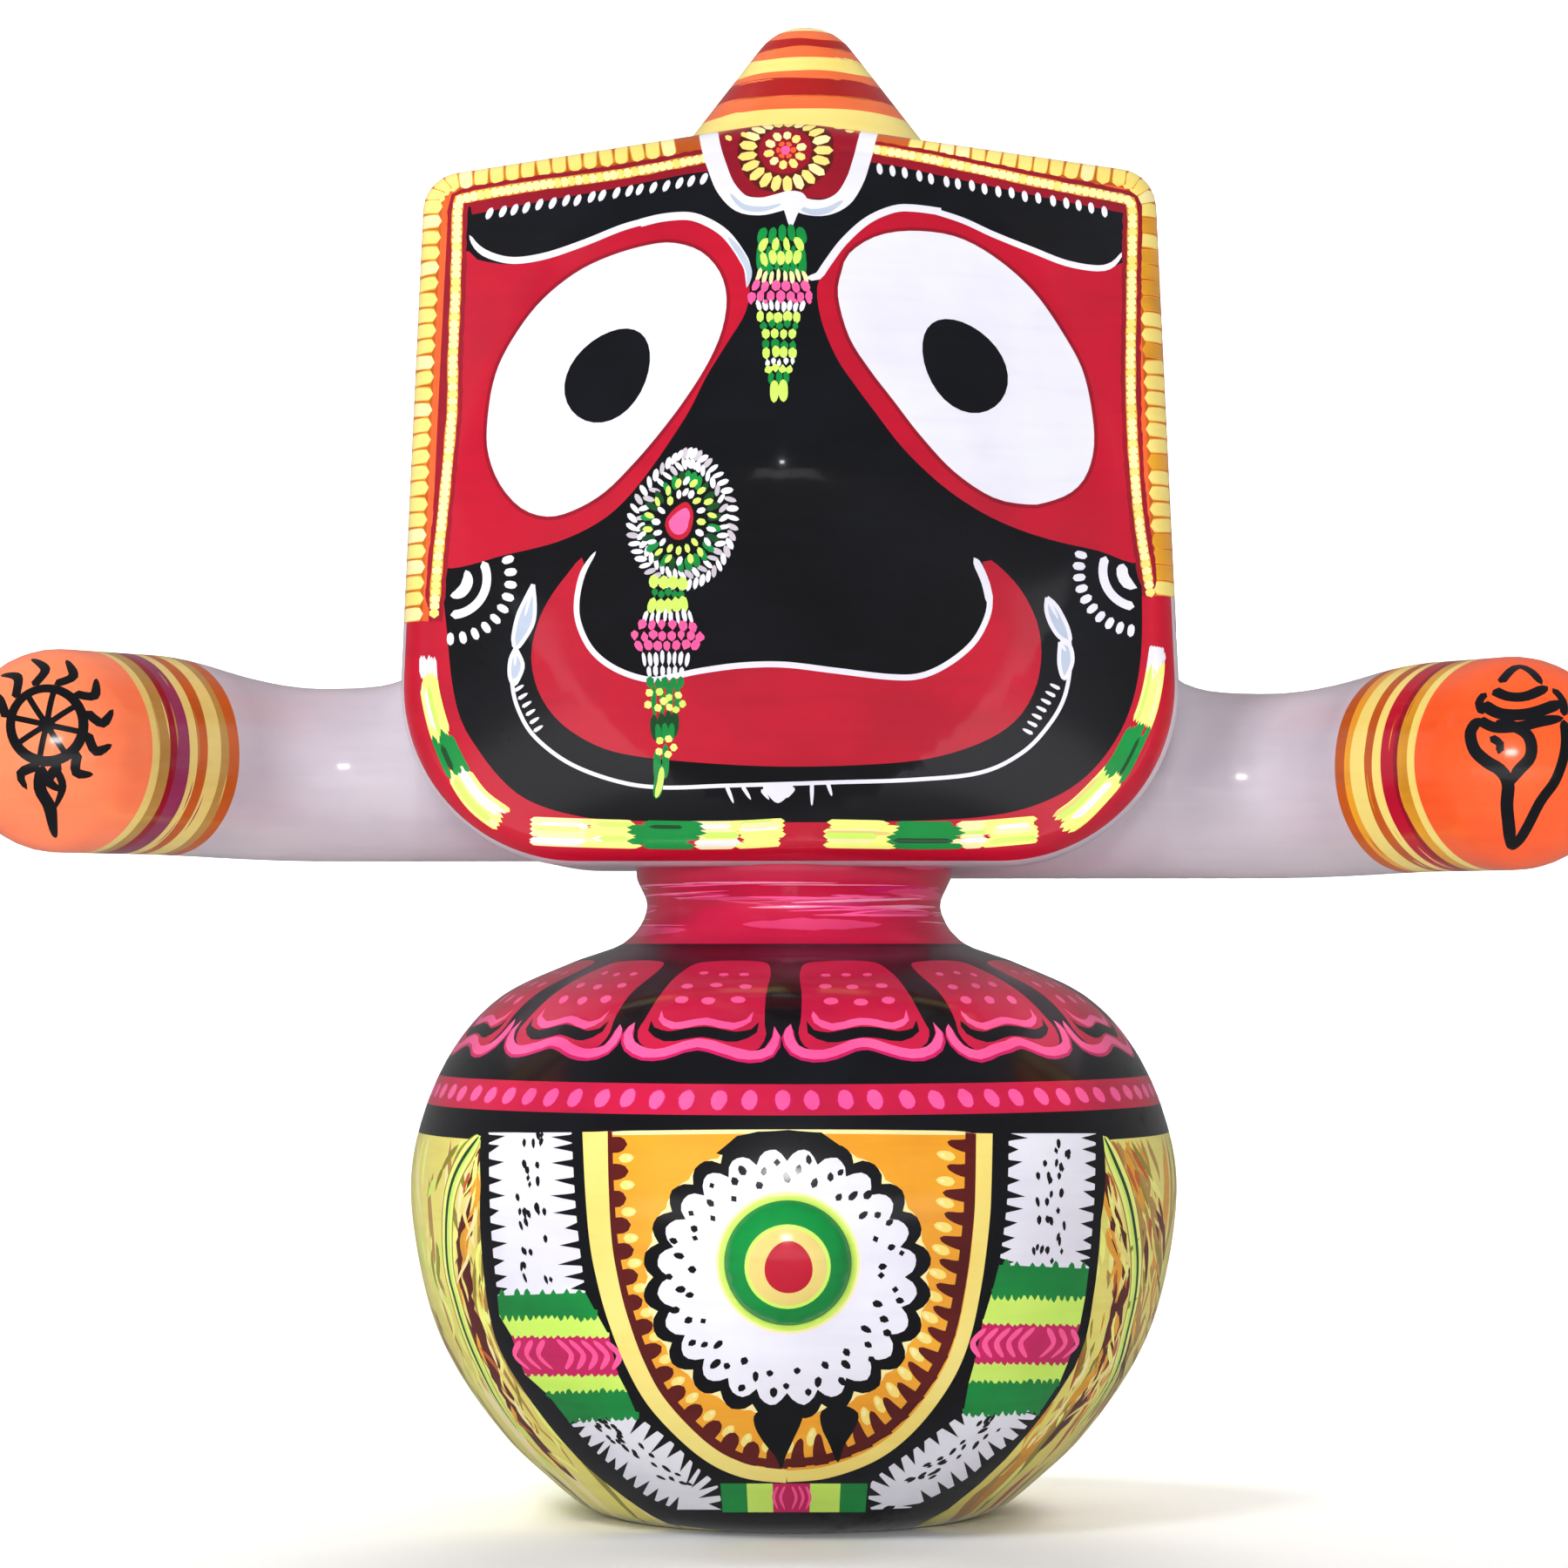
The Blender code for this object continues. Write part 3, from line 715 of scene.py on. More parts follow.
for middle, first, last in (((517, 664), -28, 90), ((1308, 655), 203, 98)):
    face_line("white", arc_pixels(middle, 20, first, last, 7), 13, start=0.3, end=0.3, step=0.7)
    face_line("white", arc_pixels(middle, 42, first, last, 9), 10, start=0.06, end=0.06, step=0.9)
    outer_first = first + (10 if first < 0 else -8)
    for start, end in zip(arc_pixels(middle, 62, outer_first, last, 10), arc_pixels(middle, 77, outer_first, last, 10)):
        face_line("white", [start, end], 8.5 + hand.uniform(-0.6, 0.6), start=0.3, end=0.3, step=0.5)
print("cheeks:", len(head.strokes), "shapes")

# %% [markdown]
# The hanging garlands are built up from small dabs with a nearly dry brush. Each tuft fans a few short dabs
# side by side, and a garland stacks tufts of changing colour, width and length.

# %% Brow garland and nose jewel
def tuft(paint, x, y, wide, tall, count, fan=0.0, width=7.0, patch_line=face_line):
    """Short dabs side by side, their lower ends spread wider by the fan, in picture pixels."""
    for k in range(count):
        share = (k + 0.5) / count - 0.5
        top, foot = x + share * wide, x + share * wide * (1 + fan)
        jump = hand.uniform(-0.12, 0.12) * tall
        patch_line(paint, [(top, y + jump), ((top + foot) / 2 + hand.uniform(-1, 1), y + tall / 2), (foot, y + tall + jump)],
                   width * hand.uniform(0.85, 1.15), step=0.6, start=0.3, end=0.35)


brow_tufts = [
    ("green", 898, 259, 48, 20, 5, 0.3, 9.5), ("green", 897, 279, 56, 34, 6, 0.1, 8), ("lime", 897, 272, 42, 16, 4, 0.5, 8),
    ("lime", 896, 288, 52, 17, 5, -0.2, 9), ("green", 897, 304, 50, 8, 6, 0.0, 8), ("cream", 897, 309, 54, 16, 8, 0.25, 5),
    ("pink", 896, 322, 62, 13, 6, 0.25, 9), ("pink", 896, 334, 78, 13, 7, 0.0, 9), ("white", 896, 345, 62, 13, 8, -0.15, 5.5),
    ("pink", 896, 343, 84, 6, 5, 0.0, 6), ("lime", 894, 357, 52, 14, 5, 0.0, 9), ("green", 895, 368, 46, 10, 5, 0.0, 7),
    ("lime", 894, 377, 44, 12, 4, -0.1, 9), ("green", 895, 389, 42, 12, 4, 0.0, 8), ("lime", 895, 398, 40, 14, 4, 0.0, 8.5),
    ("white", 895, 411, 36, 9, 5, 0.0, 5), ("lime", 894, 418, 36, 10, 4, -0.2, 8), ("green", 894, 426, 24, 14, 3, 0.2, 7),
    ("lime", 894, 436, 20, 26, 2, 0.1, 9),
]
for paint, x, y, wide, tall, count, fan, width in brow_tufts:
    tuft(paint, x, y, wide, tall, count, fan, width)


def teardrop(middle, half, above, below, count):
    """Picture places round a teardrop standing on its round end, starting under it."""
    places = []
    for k in range(count):
        a = 2 * math.pi * k / count
        rise = math.cos(a)
        pinch = 1.0 if rise > 0 else 1 - 0.34 * rise * rise
        y = middle[1] + (below * rise if rise > 0 else above * rise)
        places.append((middle[0] + half * math.sin(a) * pinch + (8 if rise < 0 else 0) * -rise, y))
    return places


def stitched(paints, middle, half, above, below, count, length, width, lean=0.0):
    """A ring of short dashes round a teardrop, pointing outwards, or leaning by an angle."""
    for x, y in teardrop(middle, half, above, below, count):
        way = Vector((x - middle[0], y - middle[1])).normalized()
        turn = lean + hand.uniform(-0.25, 0.25)
        dx, dy = way.x * math.cos(turn) - way.y * math.sin(turn), way.x * math.sin(turn) + way.y * math.cos(turn)
        dx, dy = dx * length / 2, dy * length / 2
        face_line(hand.choice(paints), [(x - dx, y - dy), (x + dx, y + dy)], width * hand.uniform(0.85, 1.15), step=0.5,
                  start=0.35, end=0.35)


jewel = (783, 600)
face_area("black", teardrop(jewel, 60, 84, 74, 24))
stitched(["white", "white", "pearl"], jewel, 58, 80, 72, 46, 15, 6.0, 0.5)
stitched(["white", "white", "pearl"], jewel, 48, 68, 60, 38, 14, 5.6, -0.5)
stitched(["green", "green", "dark_green"], (781, 600), 39, 52, 49, 26, 17, 7.5)
stitched(["lime", "lime", "white"], (780, 600), 37, 48, 44, 18, 12, 6.0, 0.3)
stitched(["lime", "lime", "white"], (779, 599), 26, 34, 33, 16, 11, 6.5, 0.2)
face_area("crimson", teardrop((779, 599), 16, 23, 21, 18))
face_area("pink", teardrop((779, 599), 11.5, 16, 15, 16))
nose_tufts = [
    ("lime", 767, 661, 40, 16, 4, 0.1, 11), ("green", 767, 676, 38, 10, 5, 0.0, 8), ("lime", 767, 685, 40, 18, 5, 0.3, 10),
    ("white", 767, 700, 54, 16, 8, 0.2, 5), ("pink", 766, 712, 62, 12, 6, 0.25, 9), ("pink", 766, 724, 86, 12, 8, 0.0, 9),
    ("pink", 766, 735, 84, 12, 7, -0.2, 9), ("white", 764, 747, 60, 17, 8, -0.1, 5), ("white", 764, 764, 46, 14, 6, -0.1, 5),
    ("green", 764, 776, 44, 14, 5, 0.0, 8), ("green", 764, 786, 36, 36, 4, -0.1, 7), ("dark_green", 763, 818, 32, 30, 4, -0.1, 10),
    ("green", 763, 830, 26, 22, 3, -0.1, 7), ("green", 759, 858, 20, 40, 2, -0.1, 9),
]
for paint, x, y, wide, tall, count, fan, width in nose_tufts:
    tuft(paint, x, y, wide, tall, count, fan, width)
for x, y, reach in ((752, 803, 15), (775, 806, 13), (764, 857, 14)):
    for k in range(5):
        a = 2 * math.pi * (k + hand.uniform(-0.15, 0.15)) / 5 - 1.2
        way = Vector((math.cos(a), math.sin(a))) * reach
        face_line(hand.choice(["lime", "lemon", "lime"]), [Vector((x, y)) + way * 0.35, Vector((x, y)) + way], 8.5, step=0.5, start=0.35, end=0.35)
face_line("green", [(757, 876), (756, 900), (753, 917)], 11, start=0.1, end=0.3, step=0.8)
face_line("lime", [(760, 880), (758, 898), (753, 916)], 7, start=0.3, end=0.3, step=0.6)
print("garland and jewel:", len(head.strokes), "shapes")

# %% [markdown]
# The lower border holds short ragged garlands in yellow-green, green and white. Each is laid as lanes of
# strokes side by side whose ends don't line up, which is what a loaded brush leaves when it is lifted.

# %% Lower border
def brushed_garland(pixels, first_width, last_width, spans):
    """Coloured spans that follow one another along picture places, each (start, end, paint, accents)."""
    line = curve_through(seen(pixels), 0.6)
    last = len(line) - 1

    def stroke(paint, low, high, offset, width):
        part = []
        for i in range(max(0, round(low * last)), min(last, round(high * last)) + 1):
            heading = (line[min(i + 1, last)] - line[max(i - 1, 0)]).normalized()
            wide = (first_width + (last_width - first_width) * i / last) * FACE_MM
            part.append(line[i] + Vector((-heading.y, heading.x)) * wide * offset)
        brush(head, paint, part[::2] + part[-1:], wide * width, step=1.4, start=0.1, end=0.12)

    for low, high, paint, accents in spans:
        stroke(paint, low + 0.05, high - 0.05, 0.0, 0.92)
        for lane in range(6):
            stroke(paint, low + hand.uniform(-0.04, 0.04), high + hand.uniform(-0.04, 0.04), (lane + 0.5) / 6 - 0.5, 0.23)
        for accent in accents:
            begin = low + (high - low) * hand.uniform(0.0, 0.25)
            end = high - (high - low) * hand.uniform(0.0, 0.3)
            stroke(accent, begin, end, hand.uniform(-0.4, 0.4), hand.uniform(0.14, 0.24))


brushed_garland([(491, 752), (493, 790), (502, 830), (514, 862), (529, 892), (549, 920), (578, 942)], 18, 30, [
    (0.0, 0.14, "white", []),
    (0.12, 0.45, "lemon", ["cream", "white", "lime"]),
    (0.62, 1.0, "lemon", ["white", "cream", "lime", "white", "lime"]),
    (0.44, 0.64, "green", ["dark_green"]),
])
brushed_garland([(608, 954), (660, 956), (730, 958), (800, 959), (855, 958), (902, 955)], 31, 30, [
    (0.0, 0.25, "cream", ["white", "white", "lemon", "white"]),
    (0.22, 0.42, "lemon", ["lime", "white", "lime"]),
    (0.63, 0.84, "cream", ["white", "lime", "white"]),
    (0.8, 1.0, "lemon", ["white", "lime", "cream"]),
    (0.4, 0.65, "green", ["dark_green"]),
])
brushed_garland([(945, 957), (1000, 958), (1060, 959), (1120, 958), (1192, 952)], 31, 29, [
    (0.0, 0.34, "lemon", ["cream", "sand", "cream", "lime"]),
    (0.6, 0.78, "cream", ["white", "white", "lime"]),
    (0.74, 1.0, "lemon", ["cream", "lime", "white"]),
    (0.3, 0.63, "green", ["dark_green"]),
])
brushed_garland([(1215, 948), (1238, 932), (1262, 908), (1284, 882), (1301, 850), (1315, 820), (1324, 785), (1330, 742)], 31, 19, [
    (0.0, 0.38, "lemon", ["white", "lime", "white", "sand", "lime"]),
    (0.6, 0.92, "lemon", ["cream", "cream", "lime"]),
    (0.88, 1.0, "white", []),
    (0.37, 0.62, "green", ["dark_green"]),
])
print("head painted:", len(head.strokes), "shapes")

# %% [markdown]
# The top and side walls of the head are hidden in the picture, so they are finished plainly. Above the
# shoulders they are crimson behind the beads, and under them they have the arms' pale grey. The rounding to
# the back and the back itself are crimson with one yellow line and one simple lotus.

# %% Side walls and back of the head
WALL_CUT = 176.0
wall = [(p, n) for p, n in head_edge(2.3) if p.y > WALL_CUT]
ring_start = max(range(len(wall)), key=lambda i: (wall[i][0] - wall[i - 1][0]).length)
wall = wall[ring_start:] + wall[:ring_start]
shape = [head_place(HEAD_WRAP, p, n) for p, n in wall] + [head_place(6.4, p, n) for p, n in wall[::-1]]
head.fill("crimson", shape, level=1)
for out, paint, width in ((22.0, "yellow", 1.6), (54.0, "yellow", 1.6)):
    brush(head, paint, [head_place(out, p, n) for p, n in wall[1:-1]], width, step=2.3, start=0.01, end=0.01, tremble=0.1)
for place, _ in spaced([head_place(38.0, p, n) for p, n in wall], 22.0):
    for k in range(6):
        way = Vector((math.cos(k * math.pi / 3), math.sin(k * math.pi / 3)))
        dab(head, "yellow" if k % 2 else "orange", place + way * 1.6, place + way * 5.0, 2.6)
    blob(head, "cream", place, 2.6)

head_back.fill("crimson", back_rim)
back_middle = Vector((0.0, HEAD_MIDDLE_Z - 3))
for inset, paint, width in ((6.0, "yellow", 2.0), (10.5, "dark_red", 1.3)):
    line = [p + (back_middle - p).normalized() * inset * 1.2 for p in back_rim][:-1]
    brush(head_back, paint, line[::2], width, step=3.0, closed=True)
for ring, (count, inner, outer, width, paint) in enumerate(
    [(16, 20.0, 33.0, 6.4, "dark_red"), (16, 21.0, 31.0, 4.6, "yellow"), (8, 7.0, 19.0, 8.0, "orange"), (8, 8.5, 16.0, 4.0, "cream")]
):
    for k in range(count):
        way = Vector((math.cos(2 * math.pi * (k + ring * 0.25) / count), math.sin(2 * math.pi * (k + ring * 0.25) / count)))
        dab(head_back, paint, back_middle + way * inner, back_middle + way * outer, width)
blob(head_back, "green", back_middle, 12, corners=24)
blob(head_back, "yellow", back_middle, 6, corners=16)
print("walls and back:", len(head.strokes), "and", len(head_back.strokes), "shapes")

# %% [markdown]
# The pot body, the topknot and the arms have round sections. Each is unrolled like a sock pulled off from
# its end: the tip is the middle of the flat patch and every ring round the part is a circle on it. The
# circles are spread so that angles stay true, as on a sailor's chart. A round dab stays round that way, and
# there is no seam, so a band runs right round without a join.

# %% Round parts unrolled from their tips
SOCK_STEP = 0.5


def between(places, values, at):
    """Straight-line lookup of a value in a rising table."""
    i = min(max(bisect.bisect_right(places, at) - 1, 0), len(places) - 2)
    return values[i] + (values[i + 1] - values[i]) * (at - places[i]) / (places[i + 1] - places[i])


class Sock:
    """The flat circles of a round part, from its real radius at each length walked from the tip."""

    def __init__(self, radius_at, length):
        self.radius_at = radius_at
        self.length = length
        self.walks = [SOCK_STEP * k for k in range(int(length / SOCK_STEP))] + [length]
        self.spreads = [0.0, SOCK_STEP]
        for a, b in zip(self.walks[1:], self.walks[2:]):
            self.spreads.append(self.spreads[-1] * math.exp((b - a) / radius_at((a + b) / 2)))

    def place(self, angle, walk):
        """The flat place at an angle round the part and a walked length."""
        return Vector((math.sin(angle), math.cos(angle))) * between(self.walks, self.spreads, walk)

    def walk(self, a, b):
        """The walked length of a flat place."""
        return between(self.spreads, self.walks, math.hypot(a, b))

    def scale(self, a, b):
        """The flat length of one real millimetre."""
        spread = math.hypot(a, b)
        return 1.0 if spread < SOCK_STEP else spread / self.radius_at(between(self.spreads, self.walks, spread))

    def ring(self, walk, wave=0.0, count=120):
        """A closed ring that may wander by a wave, as a freehand line does."""
        phases = [hand.uniform(0, 6.3) for _ in range(4)] if wave else []
        shape = []
        for k in range(count):
            angle = -2 * math.pi * k / count
            wander = sum(math.sin((i * 2 + 1) * angle + phase) / (i + 1) for i, phase in enumerate(phases))
            shape.append(self.place(angle, walk + wave * wander))
        return shape

    def dots(self, step):
        """Staggered rings of places about one real step apart."""
        found = [Vector((0.0, 0.0))]
        rings = round(self.length / step)
        for k in range(1, rings):
            walk = self.length * k / rings
            count = max(6, round(2 * math.pi * self.radius_at(walk) / step))
            found += [self.place(2 * math.pi * (i + (k % 2) / 2) / count, walk) for i in range(count)]
        return found


def walked(points):
    """The length walked up to each point of a line."""
    lengths = [0.0]
    for a, b in zip(points, points[1:]):
        lengths.append(lengths[-1] + (b - a).length)
    return lengths


class Profile:
    """An outline of (radius, height) places that can be looked up by the length walked along it."""

    def __init__(self, places):
        self.places = places
        self.lengths = walked(places)
        self.heights = [place.y for place in places]
        self.length = self.lengths[-1]

    def at(self, length):
        """The place at a walked length."""
        return between(self.lengths, self.places, min(max(length, 0.0), self.length))

    def at_height(self, height):
        """The walked length and the radius at a height, for an outline that only rises."""
        height = min(max(height, self.places[0].y), self.places[-1].y)
        return between(self.heights, self.lengths, height), between(self.heights, self.places, height).x


# %% [markdown]
# The pot is thrown-looking, so its outline is one Catmull-Rom curve through measured radii. The navel boss
# is a shallow dome set square to the belly. It's lifted as part of the same surface, with two rings of
# places tight around its foot so that the step stays crisp.

# %% The pot's shape
BELLY_RADIUS = 78.2
FOOT_RADIUS = 38.0
BOSS_X = 1.4
BOSS_Z = 55.4
BOSS_RADIUS = 11.7
BOSS_HEIGHT = 4.2
BOSS_FOOT = 0.3
pot_stations = [
    (38.0, 0.0), (43.5, 2.0), (0.633 * BELLY_RADIUS, 6.8), (0.756 * BELLY_RADIUS, 16.0), (0.885 * BELLY_RADIUS, 30.2),
    (0.96 * BELLY_RADIUS, 44.8), (BELLY_RADIUS, 65.0), (0.97 * BELLY_RADIUS, 80.3), (0.887 * BELLY_RADIUS, 94.6),
    (0.763 * BELLY_RADIUS, 105.0), (0.58 * BELLY_RADIUS, 111.8), (34.5, 116.0), (30.1, 123.0), (32.6, 130.5), (31.0, 139.0),
]
pot_outline = Profile(curve_through(pot_stations, 1.0))
POT_WRAP = FOOT_RADIUS + pot_outline.length


def pot_radius(walk):
    """The pot's real radius at a length walked from the middle of its foot."""
    return walk if walk <= FOOT_RADIUS else pot_outline.at(walk - FOOT_RADIUS).x


pot_sock = Sock(pot_radius, POT_WRAP)
boss_walk, boss_belly = pot_outline.at_height(BOSS_Z)
above, below = pot_outline.at(boss_walk + 1), pot_outline.at(boss_walk - 1)
boss_turn = math.asin(BOSS_X / boss_belly)
boss_lean = math.atan2(above.x - below.x, above.y - below.y)
boss_ahead = Vector((math.sin(boss_turn), -math.cos(boss_turn), 0.0))
boss_out = boss_ahead * math.cos(boss_lean) - Vector((0, 0, math.sin(boss_lean)))
boss_base = boss_ahead * boss_belly + Vector((0, 0, BOSS_Z))
boss_curve = (BOSS_RADIUS**2 + BOSS_HEIGHT**2) / (2 * BOSS_HEIGHT)


def lift_pot(a, b):
    """From the unrolled pot to the carved one. Straight up the flat patch is the front."""
    walk = pot_sock.walk(a, b)
    radius, height = (walk, 0.0) if walk <= FOOT_RADIUS else pot_outline.at(walk - FOOT_RADIUS)
    spread = math.hypot(a, b) or 1.0
    point = Vector((radius * a / spread, -radius * b / spread, height))
    offset = point - boss_base
    rise = offset.dot(boss_out)
    aside = offset - boss_out * rise
    if aside.length > BOSS_RADIUS + BOSS_FOOT or b < 0:
        return point
    dome = math.sqrt(boss_curve**2 - min(aside.length, BOSS_RADIUS) ** 2) - boss_curve + BOSS_HEIGHT
    share = max(0.0, (aside.length - BOSS_RADIUS) / BOSS_FOOT)
    return boss_base + aside + boss_out * (dome + (rise - dome) * share)


def pot_place(turn, walk):
    """A flat place from an angle in degrees, to the right of the front, and a length up from the foot's edge."""
    return pot_sock.place(math.radians(turn), FOOT_RADIUS + walk)


def on_pot(x, y):
    """The flat place on the pot that a line of sight meets first, or the nearest it comes."""
    ray = sight_line(x, y)
    ray = ray / ray.y

    def outside(depth):
        point = EYE + ray * (depth - EYE.y)
        return math.hypot(point.x, point.y) - pot_outline.at_height(point.z)[1], point

    near, far = -84.0, -84.0
    while far < 0 and outside(far)[0] > 0:
        near, far = far, far + 2.0
    for _ in range(14):
        middle = (near + far) / 2
        near, far = (middle, far) if outside(middle)[0] > 0 else (near, middle)
    point = outside(far)[1]
    return pot_sock.place(math.atan2(point.x, -point.y), FOOT_RADIUS + pot_outline.at_height(point.z)[0])


def on_boss(x, y):
    """The flat place at real offsets from the boss's middle, x to the right and y upwards."""
    up = boss_ahead * math.sin(boss_lean) + Vector((0, 0, math.cos(boss_lean)))
    point = boss_base + Vector((math.cos(boss_turn), math.sin(boss_turn), 0.0)) * x + up * y
    for _ in range(4):
        walk, radius = pot_outline.at_height(point.z)
        level = Vector((point.x, point.y, 0.0))
        point -= boss_out * (level.length - radius)
    return pot_sock.place(math.atan2(point.x, -point.y), FOOT_RADIUS + walk)


def boss_circle(radius, count=40, wave=0.0, waves=0, first=0.0):
    """A circle round the boss, or a scalloped one when there are waves on it."""
    shape = []
    for k in range(count):
        a = 2 * math.pi * k / count
        reach = radius + wave * abs(math.sin(waves * a / 2 + first))
        shape.append(on_boss(reach * math.cos(a), reach * math.sin(a)))
    return shape


pot_dots = pot_sock.dots(3.5)
for radius in (BOSS_RADIUS, BOSS_RADIUS + BOSS_FOOT):
    pot_dots += boss_circle(radius, 48)
pot_dots += [on_boss(x * 2.4 + (y % 2) * 1.2, y * 2.1) for x in range(-6, 7) for y in range(-6, 7)
             if math.hypot(x * 2.4 + (y % 2) * 1.2, y * 2.1) < BOSS_RADIUS - 1]
pot = Patch(lift_pot, pot_sock.ring(POT_WRAP), pot_dots, "black", pot_sock.scale)
print("pot unrolled to", round(POT_WRAP), "mm, boss at", [round(c, 1) for c in boss_base], "leaning", round(math.degrees(boss_lean), 1))

# %% [markdown]
# The pot's painting goes from the neck down: a glossy crimson neck with pink streaks of painted highlight,
# a skirt of lotus petals on black, a band of pink dots, and then the cloth. The petals and the dots go evenly
# right round, so they are placed by angle and height.

# %% Neck, petals and bead band
def walk_at(height):
    """The walked length on the pot's side at a height."""
    return pot_outline.at_height(height)[0]


def pot_line(paint, pixels, width, **how):
    """A stroke on the pot, its places and its width given in picture pixels."""
    brush(pot, paint, [on_pot(x, y) for x, y in pixels], width * BELLY_MM, **how)


BELLY_MM = 0.166
PETALS = 13
BAND_TOP = walk_at(89.0)
BAND_FOOT = walk_at(83.2)
SKIRT_FOOT = walk_at(77.4)
NECK_FOOT = walk_at(115.6)
pot.fill("rose", pot_sock.ring(POT_WRAP - 0.5))
pot.fill("black", pot_sock.ring(FOOT_RADIUS + NECK_FOOT))


# The pink streaks round the neck are painted highlight. They stand in for the broad reflection across the glossy neck.
for count, longest, widest, paints in ((26, 60, 3.2, ["hot_pink", "rose", "magenta"]), (70, 70, 0.8, ["blush", "pink", "hot_pink"])):
    for k in range(count):
        turn, length, height = hand.uniform(0, 360), hand.uniform(20, longest), hand.gauss(124.5, 2.6)
        slant = hand.uniform(-1.2, 1.2)
        streak = [pot_place(turn + length * t / 7, walk_at(min(131.0, max(118.0, height + slant * t / 7)))) for t in range(8)]
        brush(pot, hand.choice(paints), streak, hand.uniform(0.3, 1.0) * widest, step=1.8, start=0.5, end=0.6, tremble=0.15)


def shoulder_line(turn, share_and_y):
    """Flat places of one petal's line. Each is (share of a petal's width, picture height as seen at the front)."""
    return [pot_place(turn + share * 360 / PETALS, pot_sock.walk(*on_pot(912, y)) - FOOT_RADIUS) for share, y in share_and_y]


LIP = [(-0.45, 1174), (-0.465, 1186), (-0.42, 1201), (-0.31, 1209), (-0.19, 1208), (-0.08, 1201), (0.0, 1198), (0.09, 1200), (0.2, 1207),
       (0.32, 1212), (0.425, 1205), (0.465, 1190), (0.45, 1177)]
BODY = [(0.44, 1160), (0.435, 1140), (0.44, 1118), (0.38, 1106), (0.2, 1103), (-0.1, 1103), (-0.37, 1106), (-0.44, 1118), (-0.435, 1140),
        (-0.44, 1160)]
INNER_LIP = [(-0.3, 1160), (-0.28, 1170), (-0.18, 1178), (-0.08, 1175), (0.02, 1172), (0.12, 1176), (0.2, 1179), (0.29, 1172), (0.31, 1161)]
DOT_ROWS = [(1149, 0.2, 3, 3.0), (1132, 0.21, 3, 2.6), (1118, 0.17, 3, 2.1)]
for k in range(PETALS):
    turn = 360 * (k + 0.5) / PETALS
    mirror = hand.choice((-1, 1))
    lip = [(mirror * share, y + hand.uniform(-1.5, 1.5)) for share, y in LIP][::mirror]
    inside = [(share * 0.87, 1105 + (y - 1105) * 0.97) for share, y in lip + BODY]
    pot.fill("rose", curve_through(shoulder_line(turn, inside), 2.2 * pot.scale(*pot_place(turn, BAND_TOP)), closed=True))
    brush(pot, "magenta", shoulder_line(turn, [(share, y + 2) for share, y in lip]), 2.7, step=1.8, start=0.1, end=0.1)
    brush(pot, "pink", shoulder_line(turn, lip), 2.05, step=1.8, start=0.12, end=0.12, tremble=0.08)
    inner = [(mirror * share, y + hand.uniform(-1.0, 1.0)) for share, y in INNER_LIP][::mirror]
    brush(pot, "black", shoulder_line(turn, [(share * 1.14, y + 12) for share, y in inner]), 2.6, step=1.8, start=0.25, end=0.25)
    brush(pot, "pink", shoulder_line(turn, inner), 1.75, step=1.8, start=0.2, end=0.2, tremble=0.08)
    for y, spread, count, size in DOT_ROWS:
        for i in range(count):
            share = (2 * i / (count - 1) - 1) * spread + hand.uniform(-0.015, 0.015)
            blob(pot, "pink", shoulder_line(turn, [(share, y + hand.uniform(-1.5, 1.5))])[0], size, size * 0.75, corners=10)
BAND_DOTS = 77
pot.fill("rose", pot_sock.ring(FOOT_RADIUS + BAND_TOP))
pot.fill("black", pot_sock.ring(FOOT_RADIUS + BAND_FOOT))
for k in range(BAND_DOTS):
    where = pot_place(360 * k / BAND_DOTS + hand.uniform(-0.25, 0.25), (BAND_TOP + BAND_FOOT) / 2 + hand.uniform(-0.15, 0.15))
    blob(pot, "magenta", where, 3.5, 4.5, corners=12)
    blob(pot, "pink", where, 3.0, 4.0, corners=12)
print("shoulder of the pot:", len(pot.strokes), "shapes")

# %% [markdown]
# Below the bead band the belly wears a cloth. It is laid as a yellow-green ground with many long strokes that
# follow the pot down, and on each side a maroon border with golden flames and a green double line. The back
# of the pot has the same strokes and no border, which is the plain finish given to what isn't seen.

# %% The cloth all round
def pot_area(paint, pixels, smooth=True, step=2.0):
    """A filled shape on the pot, its places given in picture pixels. Long sides get places between."""
    corners = [Vector(p) for p in pixels]
    places = []
    for a, b in zip(corners, corners[1:] + corners[:1]):
        count = 1 if smooth else max(1, round((b - a).length / 28))
        places += [on_pot(*a.lerp(b, i / count)) for i in range(count)]
    pot.fill(paint, curve_through(places, step * pot.scale(*places[0]), closed=True) if smooth else places)


def meridian(turn, top, foot, sway, count=7):
    """Places down the pot's side from one walked length to a lower one, swaying a little round it."""
    phase = hand.uniform(0, 6.3)
    places = []
    for k in range(count):
        t = k / (count - 1)
        places.append(pot_place(turn + sway * math.sin(phase + 3.2 * t), top + (foot - top) * t))
    return places


